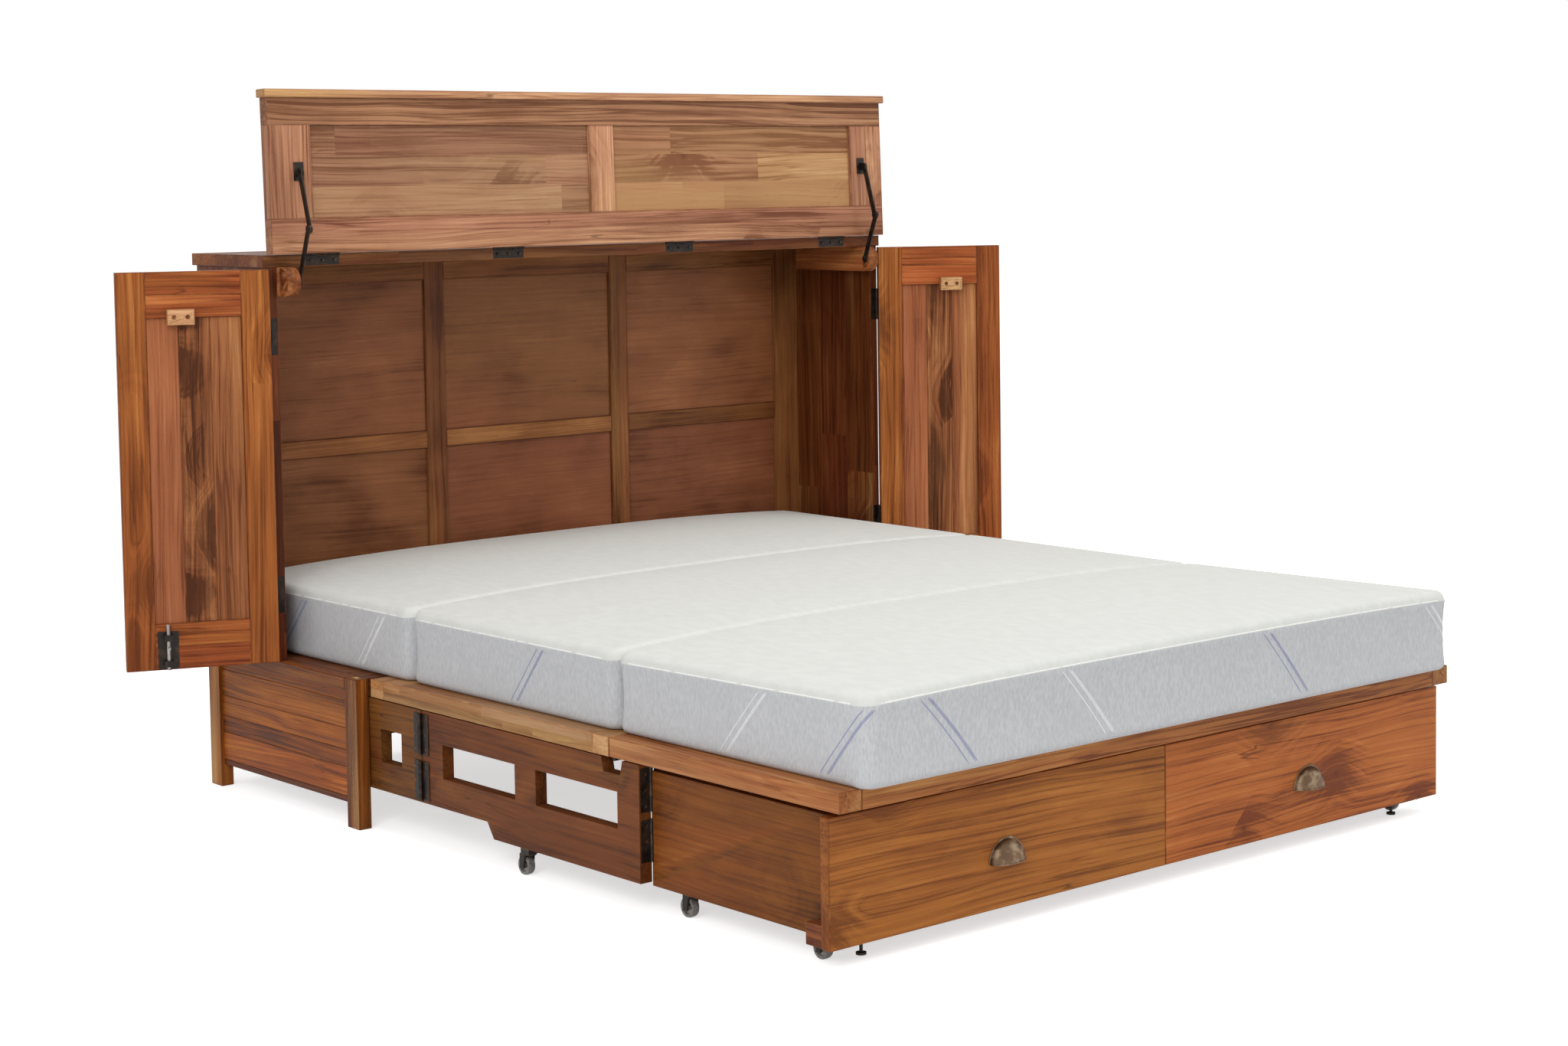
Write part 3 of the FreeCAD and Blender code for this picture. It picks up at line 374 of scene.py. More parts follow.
def finished_copy(node, material, corner, only=None, suffix="boards", smooth=None):
    """A CAD node's solids as one piece, with coplanar triangles joined, rounded corners and, at each point,
    its place, half size and tone in the board that it belongs to."""
    parts = solids_of(node)
    chosen = [parts[n] for n in only] if only else parts
    shapes = {"points": [], "triangles": [], "local": [], "half": [], "tone": []}
    first = 0
    for points, triangles in chosen:
        local = points @ own_directions(points, triangles).T
        middle = (local.min(axis=0) + local.max(axis=0)) / 2
        shapes["points"].append(points)
        shapes["triangles"].append(triangles + first)
        shapes["local"].append(local - middle)
        shapes["half"].append(np.tile(local.max(axis=0) - middle, (len(points), 1)))
        shapes["tone"].append(np.full(len(points), tones.random()))
        first += len(points)
    joined = {key: np.concatenate(values) for key, values in shapes.items()}
    body = frame["nodes"][node]["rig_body"]
    piece = put_mesh(f"{node}_{suffix}", joined["points"], joined["triangles"], body, [material])
    for name in ("local", "half", "tone"):
        attach(piece, name, joined[name])
    work = bmesh.new()
    work.from_mesh(piece.data)
    bmesh.ops.dissolve_limit(work, angle_limit=flat_within, verts=work.verts, edges=work.edges)
    work.to_mesh(piece.data)
    work.free()
    if smooth is not None:
        soften(piece.data, smooth)
    if corner:
        bevel = piece.modifiers.new("corners", "BEVEL")
        bevel.width = corner
        bevel.segments = 2
        bevel.limit_method = "ANGLE"
        bevel.angle_limit = rounded_above
    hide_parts(node)


leg_wood = wood("leg_wood", (78, 35, 10), (124, 65, 24), (168, 100, 44), knots=0.1)
for side in ("left", "right"):
    finished_copy("base_frame_" + side, leg_wood, corner=0.002)

# ---- Side planks ----
# The base's sides are filled by stacked boards of uneven height, set back from the legs. Their long edges
# are eased, so a fine shadow line shows at each joint.
plank_wood = wood("plank_wood", (86, 40, 9), (140, 74, 22), (184, 112, 42),
                  contrast=1.5, figure=0.8, knots=0.1)
finished_copy("base_side_planks", plank_wood, corner=0.001)

# ---- Base deck and cross rails ----
# A fixed deck closes the base. Two rails cross its back, and a post at each of their ends carries the rear
# side panel's hinges. All are planed hardwood, stained darker than the faces that show.
inner_wood = wood("inner_wood", (62, 30, 15), (104, 56, 29), (132, 78, 42), sap=0.2, figure=0.6)
for node in ("base_deck", "base_cross_rails"):
    finished_copy(node, inner_wood, corner=0.0015)

# ---- Framed back ----
# Stiles and rails hold six thin recessed panels. A semi-gloss dark stain hides most of the grain and lies
# unevenly, in soft clouds that show most on the panels.
back_stain = wood("back_stain", (84, 44, 23), (130, 80, 50), (160, 104, 68),
                  sap=0.1, contrast=0.55, figure=0.4, knots=0.06, clouds=1.4, polish=0.3)
frame_stain = wood("frame_stain", (80, 42, 19), (126, 78, 42), (158, 106, 62),
                   sap=0.1, contrast=1.0, figure=0.5, knots=0, clouds=0.8, polish=0.3)
finished_copy("back_frame", frame_stain, corner=0.0015)
finished_copy("back_panels", back_stain, corner=0.0008)

# ---- Side walls, top slab and stay cleats ----
# The walls stand at the ends of the back and carry the slab. The cleats are glued under it and end in round
# noses that carry the lid stays.
wall_wood = wood("wall_wood", (78, 33, 14), (126, 64, 32), (166, 100, 55), contrast=1.6, figure=1.1, staves=3)
slab_colours = ((90, 45, 20), (142, 82, 44), (184, 120, 68))
slab_wood = wood("slab_wood", *slab_colours, sap=0.4, knots=0.14)
top_wood = wood("top_wood", *slab_colours, sap=0.4, knots=0.14, staves=3)
for side in ("left", "right"):
    finished_copy("wall_" + side, wall_wood, corner=0.0015)
finished_copy("top_slab", top_wood, corner=0.003)
finished_copy("stay_cleats", slab_wood, corner=0.002)

# ---- Lid ----
# A frame of rails and stiles holds two wide glued-up panels, and a proud cap runs along its free edge. It is
# the palest wood on the piece, the right panel most of all, with a satin finish. Its colours are partly the
# golden wood's own and partly painted sheen: made paler and greyer to stand in for light reflected off it.
# Painted sheen: these lid colours are lighter and less saturated than the wood alone, standing in for
# reflected light.
lid_wood_and_sheen = wood("lid_wood_and_sheen", (112, 66, 44), (170, 118, 88), (204, 154, 118), sap=0.36)
panel_wood_and_sheen = wood("panel_wood_and_sheen", (134, 85, 58), (198, 145, 110), (228, 180, 138),
                  sap=0.4, figure=1.1, staves=3)
pale_wood_and_sheen = wood("pale_wood_and_sheen", (152, 100, 64), (218, 162, 116), (242, 196, 146),
                 sap=0.45, figure=1.1, staves=3)
finished_copy("lid_frame", lid_wood_and_sheen, corner=0.0015)
finished_copy("lid_panels", panel_wood_and_sheen, corner=0.001, only=[0])
finished_copy("lid_panels", pale_wood_and_sheen, corner=0.001, only=[1], suffix="pale_board_and_sheen")
finished_copy("lid_cap", lid_wood_and_sheen, corner=0.001)

# ---- Doors ----
# Each door has two stiles, doubled rails and a panel of three upright boards of unlike colour, the middle
# one with knots and long dark cracks. A pale wooden block is fixed on each door, below its top.
door_wood = wood("door_wood", (98, 46, 18), (156, 84, 40), (200, 126, 68), sap=0.3, knots=0.12)
plain_wood = wood("plain_wood", (108, 58, 32), (160, 98, 60), (190, 130, 86),
                  sap=0.1, contrast=1.3, figure=0.6, knots=0.05)
board_wood = wood("board_wood", (74, 36, 17), (138, 80, 48), (184, 124, 78),
                  contrast=1.6, figure=1.5, knots=0.75, cracks=10)
block_wood = wood("block_wood", (150, 100, 60), (198, 150, 104), (222, 180, 134), sap=0.3, knots=0)
for side in ("left", "right"):
    finished_copy("door_frame_" + side, door_wood, corner=0.0015)
    finished_copy("door_panel_" + side, plain_wood, corner=0.001, only=[0, 2])
    finished_copy("door_panel_" + side, board_wood, corner=0.001, only=[1], suffix="knotty_board")
    finished_copy("door_fittings_" + side, block_wood, corner=0.0015, only=[3], suffix="block")

# ---- Platform ----
# Two framed decks carry the mattress. Only their edges show: pale sapwood along the middle one, golden brown
# along the foot one, with end grain at the corners.
middle_edge = wood("middle_edge", (146, 88, 46), (204, 148, 90), (234, 190, 132),
                   sapwood=(230, 192, 142), sap=0.5, contrast=1.3, knots=0, layers=2)
foot_edge = wood("foot_edge", (108, 58, 27), (164, 104, 55), (198, 142, 84), sap=0.4, knots=0.08)
finished_copy("platform_middle", middle_edge, corner=0.002)
finished_copy("platform_foot", foot_edge, corner=0.002)

# ---- Folding side panels ----
# Wide boards with cut-out windows, hinged like an accordion between the base and the drawer. They are
# stained a dark reddish brown that leaves little of the grain.
side_stain = wood("side_stain", (66, 34, 12), (112, 64, 28), (140, 88, 42),
                  sap=0.12, contrast=1.0, figure=0.6, knots=0.1, clouds=0.6, polish=0.45)
for place in ("rear_side_panel_", "front_side_panel_"):
    for side in ("left", "right"):
        finished_copy(place + side, side_stain, corner=0.002)

# ---- Drawer ----
# A dark stained box on casters, with a divider inside. Two show boards of the best figured wood are fixed
# across its front, and small wooden blocks stiffen its corners.
box_stain = wood("box_stain", (76, 38, 10), (122, 68, 24), (152, 94, 40),
                 sap=0.15, contrast=1.0, figure=0.6, knots=0.35, clouds=0.6, polish=0.45)
front_wood = wood("front_wood", (108, 53, 19), (174, 102, 46), (212, 144, 78),
                  sap=0.3, contrast=0.95, figure=1.2, knots=0.55)
finished_copy("drawer_box", box_stain, corner=0.0012)
for side in ("left", "right"):
    finished_copy("drawer_front_" + side, front_wood, corner=0.0)
finished_copy("drawer_fittings", slab_wood, corner=0.002, only=[4, 10], suffix="blocks")

# ---- Black iron: hinges, stays, bolts ----
# Stamped and bent steel with a black oxide skin that has rubbed to brown on its edges. Hinge leaves are held
# by three countersunk screws each. The door bolts are bright steel, and the cups that catch them are brass.


def rubbed_metal():
    """A dark skin over brighter metal: cloudy, gritty, and rubbed through near each plate's edges."""
    sockets = [("Skin", "Color"), ("Rubbed", "Color"), ("Wear", "Float")]
    results = [("Color", "Color"), ("Roughness", "Float"), ("Height", "Float")]
    tree, given, result = new_group("rubbed_metal", sockets, results)
    local = shade(tree, "Attribute", attribute_name="local").outputs["Vector"]
    half = shade(tree, "Attribute", attribute_name="half").outputs["Vector"]
    room = vector_calc(tree, "SUBTRACT", half, vector_calc(tree, "ABSOLUTE", local))
    nearest = middle_of(tree, room)
    position = shade(tree, "TexCoord").outputs["Object"]
    patch = cloud(tree, position, (60, 60, 60), 4.0)
    grit = cloud(tree, position, (900, 900, 900), 2.0)
    worn = times(tree, ease(tree, nearest, 0.003, 0.0002), ease(tree, patch, 0.4, 0.62))
    worn = times(tree, worn, given["Wear"])
    dusty = mix(tree, times(tree, ease(tree, patch, 0.45, 0.75), 0.35), given["Skin"], given["Rubbed"])
    tree.links.new(mix(tree, worn, dusty, given["Rubbed"]), result["Color"])
    rough = ease(tree, patch, 0.3, 0.7, 0.32, 0.52)
    tree.links.new(plus(tree, rough, times(tree, grit, 0.1)), result["Roughness"])
    tree.links.new(plus(tree, patch, times(tree, grit, 0.3)), result["Height"])
    return tree


metal_pattern = rubbed_metal()


def metal(name, skin, rubbed, wear, metallic):
    material = bpy.data.materials.new(name)
    material.use_nodes = True
    tree = material.node_tree
    surface = tree.nodes.new("ShaderNodeGroup")
    surface.node_tree = metal_pattern
    for key, value in {"Skin": srgb(*skin), "Rubbed": srgb(*rubbed), "Wear": wear}.items():
        surface.inputs[key].default_value = value
    finish = tree.nodes["Principled BSDF"]
    finish.inputs["Metallic"].default_value = metallic
    tree.links.new(surface.outputs["Color"], finish.inputs["Base Color"])
    tree.links.new(surface.outputs["Roughness"], finish.inputs["Roughness"])
    bump = shade(tree, "Bump", {"Height": surface.outputs["Height"], "Strength": 0.4, "Distance": 0.0003})
    tree.links.new(bump.outputs["Normal"], finish.inputs["Normal"])
    return material


iron = metal("black_iron", (38, 33, 30), (96, 76, 60), 0.7, 0.75)
bolt_steel = metal("bolt_steel", (140, 136, 130), (206, 202, 196), 0.6, 1.0)
cup_brass = metal("cup_brass", (176, 140, 84), (224, 196, 140), 0.6, 1.0)
catch_cups = [12, 18]
screw_radius = 0.0031
screw_places = (-0.36, 0.0, 0.36)
screw_turn = np.linspace(0, 2 * np.pi, 16, endpoint=False)
screw_rings = ((1.0, 0.0, 0.0), (0.92, 0.00045, 0.0), (0.55, 0.0008, 0.12))
screw_rings += ((0.34, 0.0008, 0.4), (0.22, 0.0001, 0.4), (0.0, 0.0001, 0.0))
sunk_rise = 0.15
plate_corner = 0.0004
same_way = 0.99
level_within = 0.0005


def faces_between(grid):
    """Four-sided faces between the rows of a grid of point numbers, each row closed into a ring."""
    around = np.roll(grid, -1, axis=1)
    return np.stack([grid[:-1], around[:-1], around[1:], grid[1:]], axis=-1).reshape(-1, 4)


def weld(piece):
    """Joins points that lie on each other and turns the faces outward."""
    work = bmesh.new()
    work.from_mesh(piece.data)
    bmesh.ops.remove_doubles(work, verts=work.verts, dist=1e-6)
    bmesh.ops.recalc_face_normals(work, faces=work.faces)
    work.to_mesh(piece.data)
    work.free()


def screw_heads(node, name, only=None, rise=1.0):
    """A domed head at three places along each hinge leaf, with a cross cut into it. A ring is its radius as a
    share of the head's, its height, and how much its radius grows and shrinks, four times in a turn. A rise
    below 1 lets the heads in."""
    points = []
    faces = []
    parts = solids_of(node)
    for part, triangles in ([parts[n] for n in only] if only else parts):
        long, thick = own_directions(part, triangles)[[0, 2]]
        (a, b, c), normals, area = corners_and_normals(part, triangles)
        facing = (normals @ thick) / area
        plate = np.abs(facing) > same_way
        centre = (((a + b + c) / 3)[plate] * area[plate, None]).sum(axis=0) / area[plate].sum()
        outward = thick * np.sign((part.mean(axis=0) - centre) @ thick)
        face = facing * np.sign(outward @ thick) > same_way
        weight = area[face]
        level = (((a + b + c) / 3)[face] * weight[:, None]).sum(axis=0) / weight.sum()
        flat = part[triangles[face]].reshape(-1, 3)
        reach = np.ptp(flat @ long)
        heights = flat @ outward
        top = heights.max() if np.ptp(heights) < level_within else np.median(heights)
        sideways = np.cross(outward, long)
        ring = np.cos(screw_turn)[:, None] * long + np.sin(screw_turn)[:, None] * sideways
        for share in screw_places:
            middle = level + long * (share * reach)
            middle = middle + outward * (top - middle @ outward)
            first = len(points) * len(screw_turn)
            for radius, height, cross in screw_rings:
                size = screw_radius * radius * (1 + cross * np.cos(4 * screw_turn))
                points.append(middle + size[:, None] * ring + outward * height * rise)
            count = len(screw_rings) * len(screw_turn)
            faces.append(faces_between(first + np.arange(count).reshape(len(screw_rings), -1)))
    body = frame["nodes"][node]["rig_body"]
    points = np.concatenate(points)
    weld(put_mesh(name, points, np.concatenate(faces), body, [iron], 50))


def metal_copy(node, material=iron, only=None, suffix="iron"):
    finished_copy(node, material, plate_corner, only=only, suffix=suffix, smooth=35)


for side in ("left", "right"):
    metal_copy("door_fittings_" + side, only=[0, 1, 2])
    screw_heads("door_fittings_" + side, f"door_screws_{side}", only=[0, 1])
    metal_copy("door_bolt_" + side, bolt_steel, suffix="steel")
    metal_copy("stay_lower_" + side)
    metal_copy("stay_upper_" + side)
    metal_copy("rear_panel_leaves_" + side)
    screw_heads("rear_panel_leaves_" + side, f"rear_panel_screws_{side}", rise=sunk_rise)
    metal_copy("front_panel_leaves_" + side)
    screw_heads("front_panel_leaves_" + side, f"front_panel_screws_{side}", only=[0, 1, 2, 3], rise=sunk_rise)
metal_copy("cabinet_fittings", only=[n for n in range(19) if n not in catch_cups])
metal_copy("cabinet_fittings", cup_brass, only=catch_cups, suffix="brass")
metal_copy("lid_hardware")
screw_heads("lid_hardware", "lid_screws", only=[0, 1, 2, 3])
screw_heads("cabinet_fittings", "slab_screws", only=[0, 1, 2, 3])
metal_copy("platform_middle_leaves")
metal_copy("platform_foot_leaves")
metal_copy("drawer_fittings", only=[0, 1, 2, 3, 5, 6, 7, 8, 9, 11])

# ---- Cup pulls ----
# Cast half-cups with an antique finish, dark in the hollows and rubbed to a soft brassy shine, held to the
# drawer fronts by a thin flange.
pull_metal = metal("antique_pull", (102, 82, 64), (214, 192, 162), 0.7, 1.0)
pull_wall = 0.0018
pull_stand_off = 0.0006
pull_inner_step = 0.0004
flange_middle = 0.0012
flange_reach = 0.0022
flange_stand_off = 0.0009
flange_half_thick = 0.0008
bead_radius = 0.0014
rubbed_margin = 0.002
side_margin = 0.003
front_margin = 0.001


def cup_pull(name, centre, radius, depth):
    """A quarter of a squashed ball, open below: across is radius cos(a) cos(b), up is radius sin(a) cos(b)
    and out is depth sin(b), with a from 0 to half a turn and b to a quarter. A flat flange follows the arch,
    and a bead the lip."""
    a, b = np.meshgrid(np.linspace(0, np.pi, 41), np.linspace(0, np.pi / 2, 17), indexing="ij")
    out = -depth * np.sin(b) - pull_stand_off
    cup = np.stack([radius * np.cos(a) * np.cos(b), out, radius * np.sin(a) * np.cos(b)], axis=-1)
    inner = cup * (1 - pull_wall / radius) + np.array([0, pull_inner_step, 0])
    a, c = np.meshgrid(np.linspace(0, np.pi, 41), np.linspace(0, 2 * np.pi, 13), indexing="ij")
    wide = radius + flange_middle + flange_reach * np.cos(c)
    out = -flange_stand_off - flange_half_thick * np.sin(c)
    flange = np.stack([wide * np.cos(a), out, wide * np.sin(a)], axis=-1)
    t, c = np.meshgrid(np.linspace(0, np.pi, 49), np.linspace(0, 2 * np.pi, 11), indexing="ij")
    path = np.stack([radius * np.cos(t), -depth * np.sin(t) - pull_stand_off, 0 * t], axis=-1)
    away = np.stack([np.cos(t), -np.sin(t), 0 * t], axis=-1)
    bead = path + bead_radius * (np.cos(c)[..., None] * away + np.sin(c)[..., None] * np.array([0, 0, 1.0]))
    points = []
    faces = []
    for sheet in (cup, inner[:, ::-1], flange, bead):
        first = sum(len(p) for p in points)
        grid = first + np.arange(sheet.shape[0] * sheet.shape[1]).reshape(sheet.shape[:2])
        corners = [grid[:-1, :-1], grid[1:, :-1], grid[1:, 1:], grid[:-1, 1:]]
        faces.append(np.stack(corners, axis=-1).reshape(-1, 4))
        points.append(sheet.reshape(-1, 3))
    local = np.concatenate(points)
    points = local + np.array(centre)
    piece = put_mesh(name, points, np.concatenate(faces), "drawer", [pull_metal], 60)
    attach(piece, "local", local)
    attach(piece, "half", np.full(local.shape, radius + rubbed_margin))
    weld(piece)
    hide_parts("cup_pulls")


pull_low, pull_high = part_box("cup_pulls")
pull_height = pull_high.z - pull_low.z
pull_depth = pull_high.y - pull_low.y
for name, x in (("left_cup_pull", pull_low.x + pull_height), ("right_cup_pull", pull_high.x - pull_height)):
    cup_pull(name, (x, pull_high.y, pull_low.z), pull_height - side_margin, pull_depth - front_margin)

# ---- Casters ----
# Small swivel casters under the drawer and the front side panels. Each has a black steel fork and axle, and a
# grey nylon wheel with a rounded tread and a bright hub.


def tyre_surface():
    material = bpy.data.materials.new("grey_tyre")
    material.use_nodes = True
    tree = material.node_tree
    finish = tree.nodes["Principled BSDF"]
    position = shade(tree, "TexCoord").outputs["Object"]
    dust = cloud(tree, position, (260, 260, 260), 4.0)
    colour = mix(tree, ease(tree, dust, 0.35, 0.7), srgb(92, 88, 84), srgb(142, 136, 128))
    tree.links.new(colour, finish.inputs["Base Color"])
    tree.links.new(ease(tree, dust, 0.3, 0.7, 0.38, 0.62), finish.inputs["Roughness"])
    bump = shade(tree, "Bump", {"Height": dust, "Strength": 0.4, "Distance": 0.0003})
    tree.links.new(bump.outputs["Normal"], finish.inputs["Normal"])
    return material


tyre = tyre_surface()
hub_metal = metal("hub_steel", (120, 114, 106), (176, 168, 156), 0.5, 1.0)
wheel_side = [(0.17, 0.62), (0.17, 0.95), (0.30, 0.95), (0.33, 0.62), (0.62, 0.55), (0.68, 0.86)]
wheel_side += [(0.74, 0.94), (0.88, 0.97), (0.95, 0.86), (0.985, 0.62), (1.0, 0.3)]
hub_rows = 4


def wheel(node):
    """A wheel turned about X. A point of its closed profile is a share of the radius and a share of the half
    width; the side's points are listed from the bore to the tread and mirrored."""
    low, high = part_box(node)
    middle = (np.array(low) + np.array(high)) / 2
    radius = (high.z - low.z) / 2
    half = (high.x - low.x) / 2
    near = [(r, -w) for r, w in wheel_side]
    profile = np.array(near + wheel_side[::-1] + near[:1])
    turn = np.linspace(0, 2 * np.pi, 40, endpoint=False)
    r, c = np.meshgrid(profile[:, 0] * radius, turn, indexing="ij")
    across = np.repeat(profile[:, 1] * half, len(turn)).reshape(r.shape)
    points = middle + np.stack([across, r * np.cos(c), r * np.sin(c)], axis=-1)
    points = points[:-1].reshape(-1, 3)
    grid = np.arange(len(profile) * len(turn)).reshape(len(profile), -1)
    grid[-1] = grid[0]
    body = frame["nodes"][node]["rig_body"]
    materials = [tyre, hub_metal]
    piece = put_mesh(node + "_tyre", points, faces_between(grid), body, materials, 40)
    rows = np.repeat(np.arange(len(profile) - 1), len(turn))
    hub = (rows < hub_rows) | (rows >= len(profile) - 2 - hub_rows)
    piece.data.polygons.foreach_set("material_index", hub.astype(np.int32))
    attach(piece, "local", points - middle)
    attach(piece, "half", np.full(points.shape, radius))
    weld(piece)
    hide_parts(node)


for place in ("panel", "rear", "front"):
    for side in ("left", "right"):
        metal_copy(f"caster_fork_{place}_{side}")
        wheel(f"caster_wheel_{place}_{side}")

# ---- Mattress ----
# Three firm foam sections in a knitted cover: an ivory top with a slight crown, heathered grey sides that
# draw in a little, white piping along the top seam, and sewn lines that slant across the sides.


def knit(name, first, second, streak, ridge, relief):
    """Knitted cloth: heathered yarns between two colours, stretched by streak, over rows of small loops.
    The loops are the product of three sine waves, ridge waves to 2 pi metres each."""
    material = bpy.data.materials.new(name)
    material.use_nodes = True
    tree = material.node_tree
    finish = tree.nodes["Principled BSDF"]
    position = shade(tree, "TexCoord").outputs["Object"]
    heather = cloud(tree, position, streak, 3.0)
    broad = cloud(tree, position, (5, 5, 9), 2.0)
    colour = mix(tree, ease(tree, heather, 0.34, 0.66), srgb(*first), srgb(*second))
    soil = times(tree, ease(tree, broad, 0.4, 0.75), 0.22)
    colour = mix(tree, soil, colour, srgb(*first))
    tree.links.new(colour, finish.inputs["Base Color"])
    rows = vector_calc(tree, "MULTIPLY", position, (ridge, ridge, ridge))
    loops = vector_calc(tree, "SINE", rows)
    x, y, z = shade(tree, "SeparateXYZ", {0: loops}).outputs
    loop_height = times(tree, times(tree, x, y), z)
    height = plus(tree, times(tree, loop_height, 0.3), heather)
    bump = shade(tree, "Bump", {"Height": height, "Strength": relief, "Distance": 0.0006})
    tree.links.new(bump.outputs["Normal"], finish.inputs["Normal"])
    tree.links.new(ease(tree, heather, 0.3, 0.7, 0.82, 0.94), finish.inputs["Roughness"])
    finish.inputs["Sheen Weight"].default_value = 0.12
    finish.inputs["Specular IOR Level"].default_value = 0.25
    return material


top_knit = knit("top_knit", (207, 208, 203), (212, 213, 208), (60, 25, 60), 1500, 0.2)
side_knit = knit("side_knit", (180, 182, 185), (195, 196, 198), (300, 300, 90), 1100, 0.8)
piping_cloth = knit("piping_cloth", (232, 231, 228), (244, 243, 240), (500, 500, 500), 900, 0.8)
lilac_thread = knit("lilac_thread", (132, 138, 172), (158, 163, 192), (700, 700, 700), 1200, 0.9)
white_thread = knit("white_thread", (226, 227, 232), (242, 242, 244), (700, 700, 700), 1200, 0.9)
corner_turn = 0.030
foot_round = 0.013
shoulder = 0.017
shoulder_step = 0.0012
seam_drop = 0.019
waist = 0.004
crown_height = 0.0062
roll_height = 0.0007
least_edge_drop = 0.0065
side_fall = 0.018
foot_fullness = 0.011
pucker_lengths = (0.031, 0.047, 0.083)
side_pucker = 0.0006
seam_pucker = 0.0004
top_pucker = 0.0005
piping_radius = 0.0022
piping_sink = 0.0026
piping_share = 1.01
thread_radius = 0.0009
thread_places = (0.0, 0.017, 0.021)
cord_sides = 8


def outline(half_x, half_y):
    """A rectangle's outline with quarter-circle corners, as points, outward normals and the way round in
    metres. The points start where the right side meets its upper corner and go anticlockwise."""
    straight_x = half_x - corner_turn
    straight_y = half_y - corner_turn
    bend = np.linspace(0, np.pi / 2, 13)
    points = []
    normals = []
    for quarter, (sx, sy) in enumerate(((1, 1), (-1, 1), (-1, -1), (1, -1))):
        angle = bend + quarter * np.pi / 2
        arc = np.stack([np.cos(angle), np.sin(angle)], axis=-1)
        points.append(np.array([sx * straight_x, sy * straight_y]) + corner_turn * arc)
        normals.append(arc)
        here = points[-1][-1]
        ahead = np.array([(-sx * straight_x, here[1]), (here[0], -sy * straight_y)][quarter % 2])
        count = 8 + int(np.linalg.norm(ahead - here) / 0.02)
        step = np.linspace(0, 1, count)[1:-1, None]
        points.append(here + step * (ahead - here))
        normals.append(np.tile(arc[-1], (len(step), 1)))
    points = np.concatenate(points)
    normals = np.concatenate(normals)
    gaps = np.linalg.norm(np.roll(points, -1, axis=0) - points, axis=1)
    return points, normals, np.concatenate([[0], np.cumsum(gaps)])


def edge_drop(part, x, y, half):
    """How far the top edge stands below the section's highest point: it falls towards the bed's sides with
    the cube of the way out, less so at the foot, where the filling stands fuller."""
    fuller = np.clip(0.5 - y / half[1] / 2, 0, 1) if part == "foot" else 0.0
    return least_edge_drop + (side_fall - foot_fullness * fuller) * np.abs(x / half[0]) ** 3


def side_inset(up, height):
    """How far a side lies inside the outline at a height: it draws in by the waist and rounds off at the
    foot."""
    rounding = foot_round * (1 - np.sqrt(np.clip(1 - (1 - np.clip(up / foot_round, 0, 1)) ** 2, 0, 1)))
    share = np.clip((up - foot_round) / (height - seam_drop - foot_round), 0, 1)
    return rounding + waist * np.sin(np.pi * share) ** 0.8


def cord_along(path, outward, radius):
    """A round cord with drawn-in ends: each ring turns about the path between the outward direction and its
    cross."""
    ahead = np.gradient(path, axis=0)
    ahead /= np.linalg.norm(ahead, axis=1)[:, None]
    across = np.cross(ahead, outward)
    across /= np.linalg.norm(across, axis=1)[:, None]
    lift = np.cross(across, ahead)
    turn = np.linspace(0, 2 * np.pi, cord_sides, endpoint=False)[None, :, None]
    thick = np.full(len(path), radius)
    thick[[0, -1]] = radius * 0.05
    ring = np.cos(turn) * lift[:, None] + np.sin(turn) * across[:, None]
    tube = path[:, None] + thick[:, None, None] * ring
    return tube.reshape(-1, 3), faces_between(np.arange(len(path) * cord_sides).reshape(-1, cord_sides))


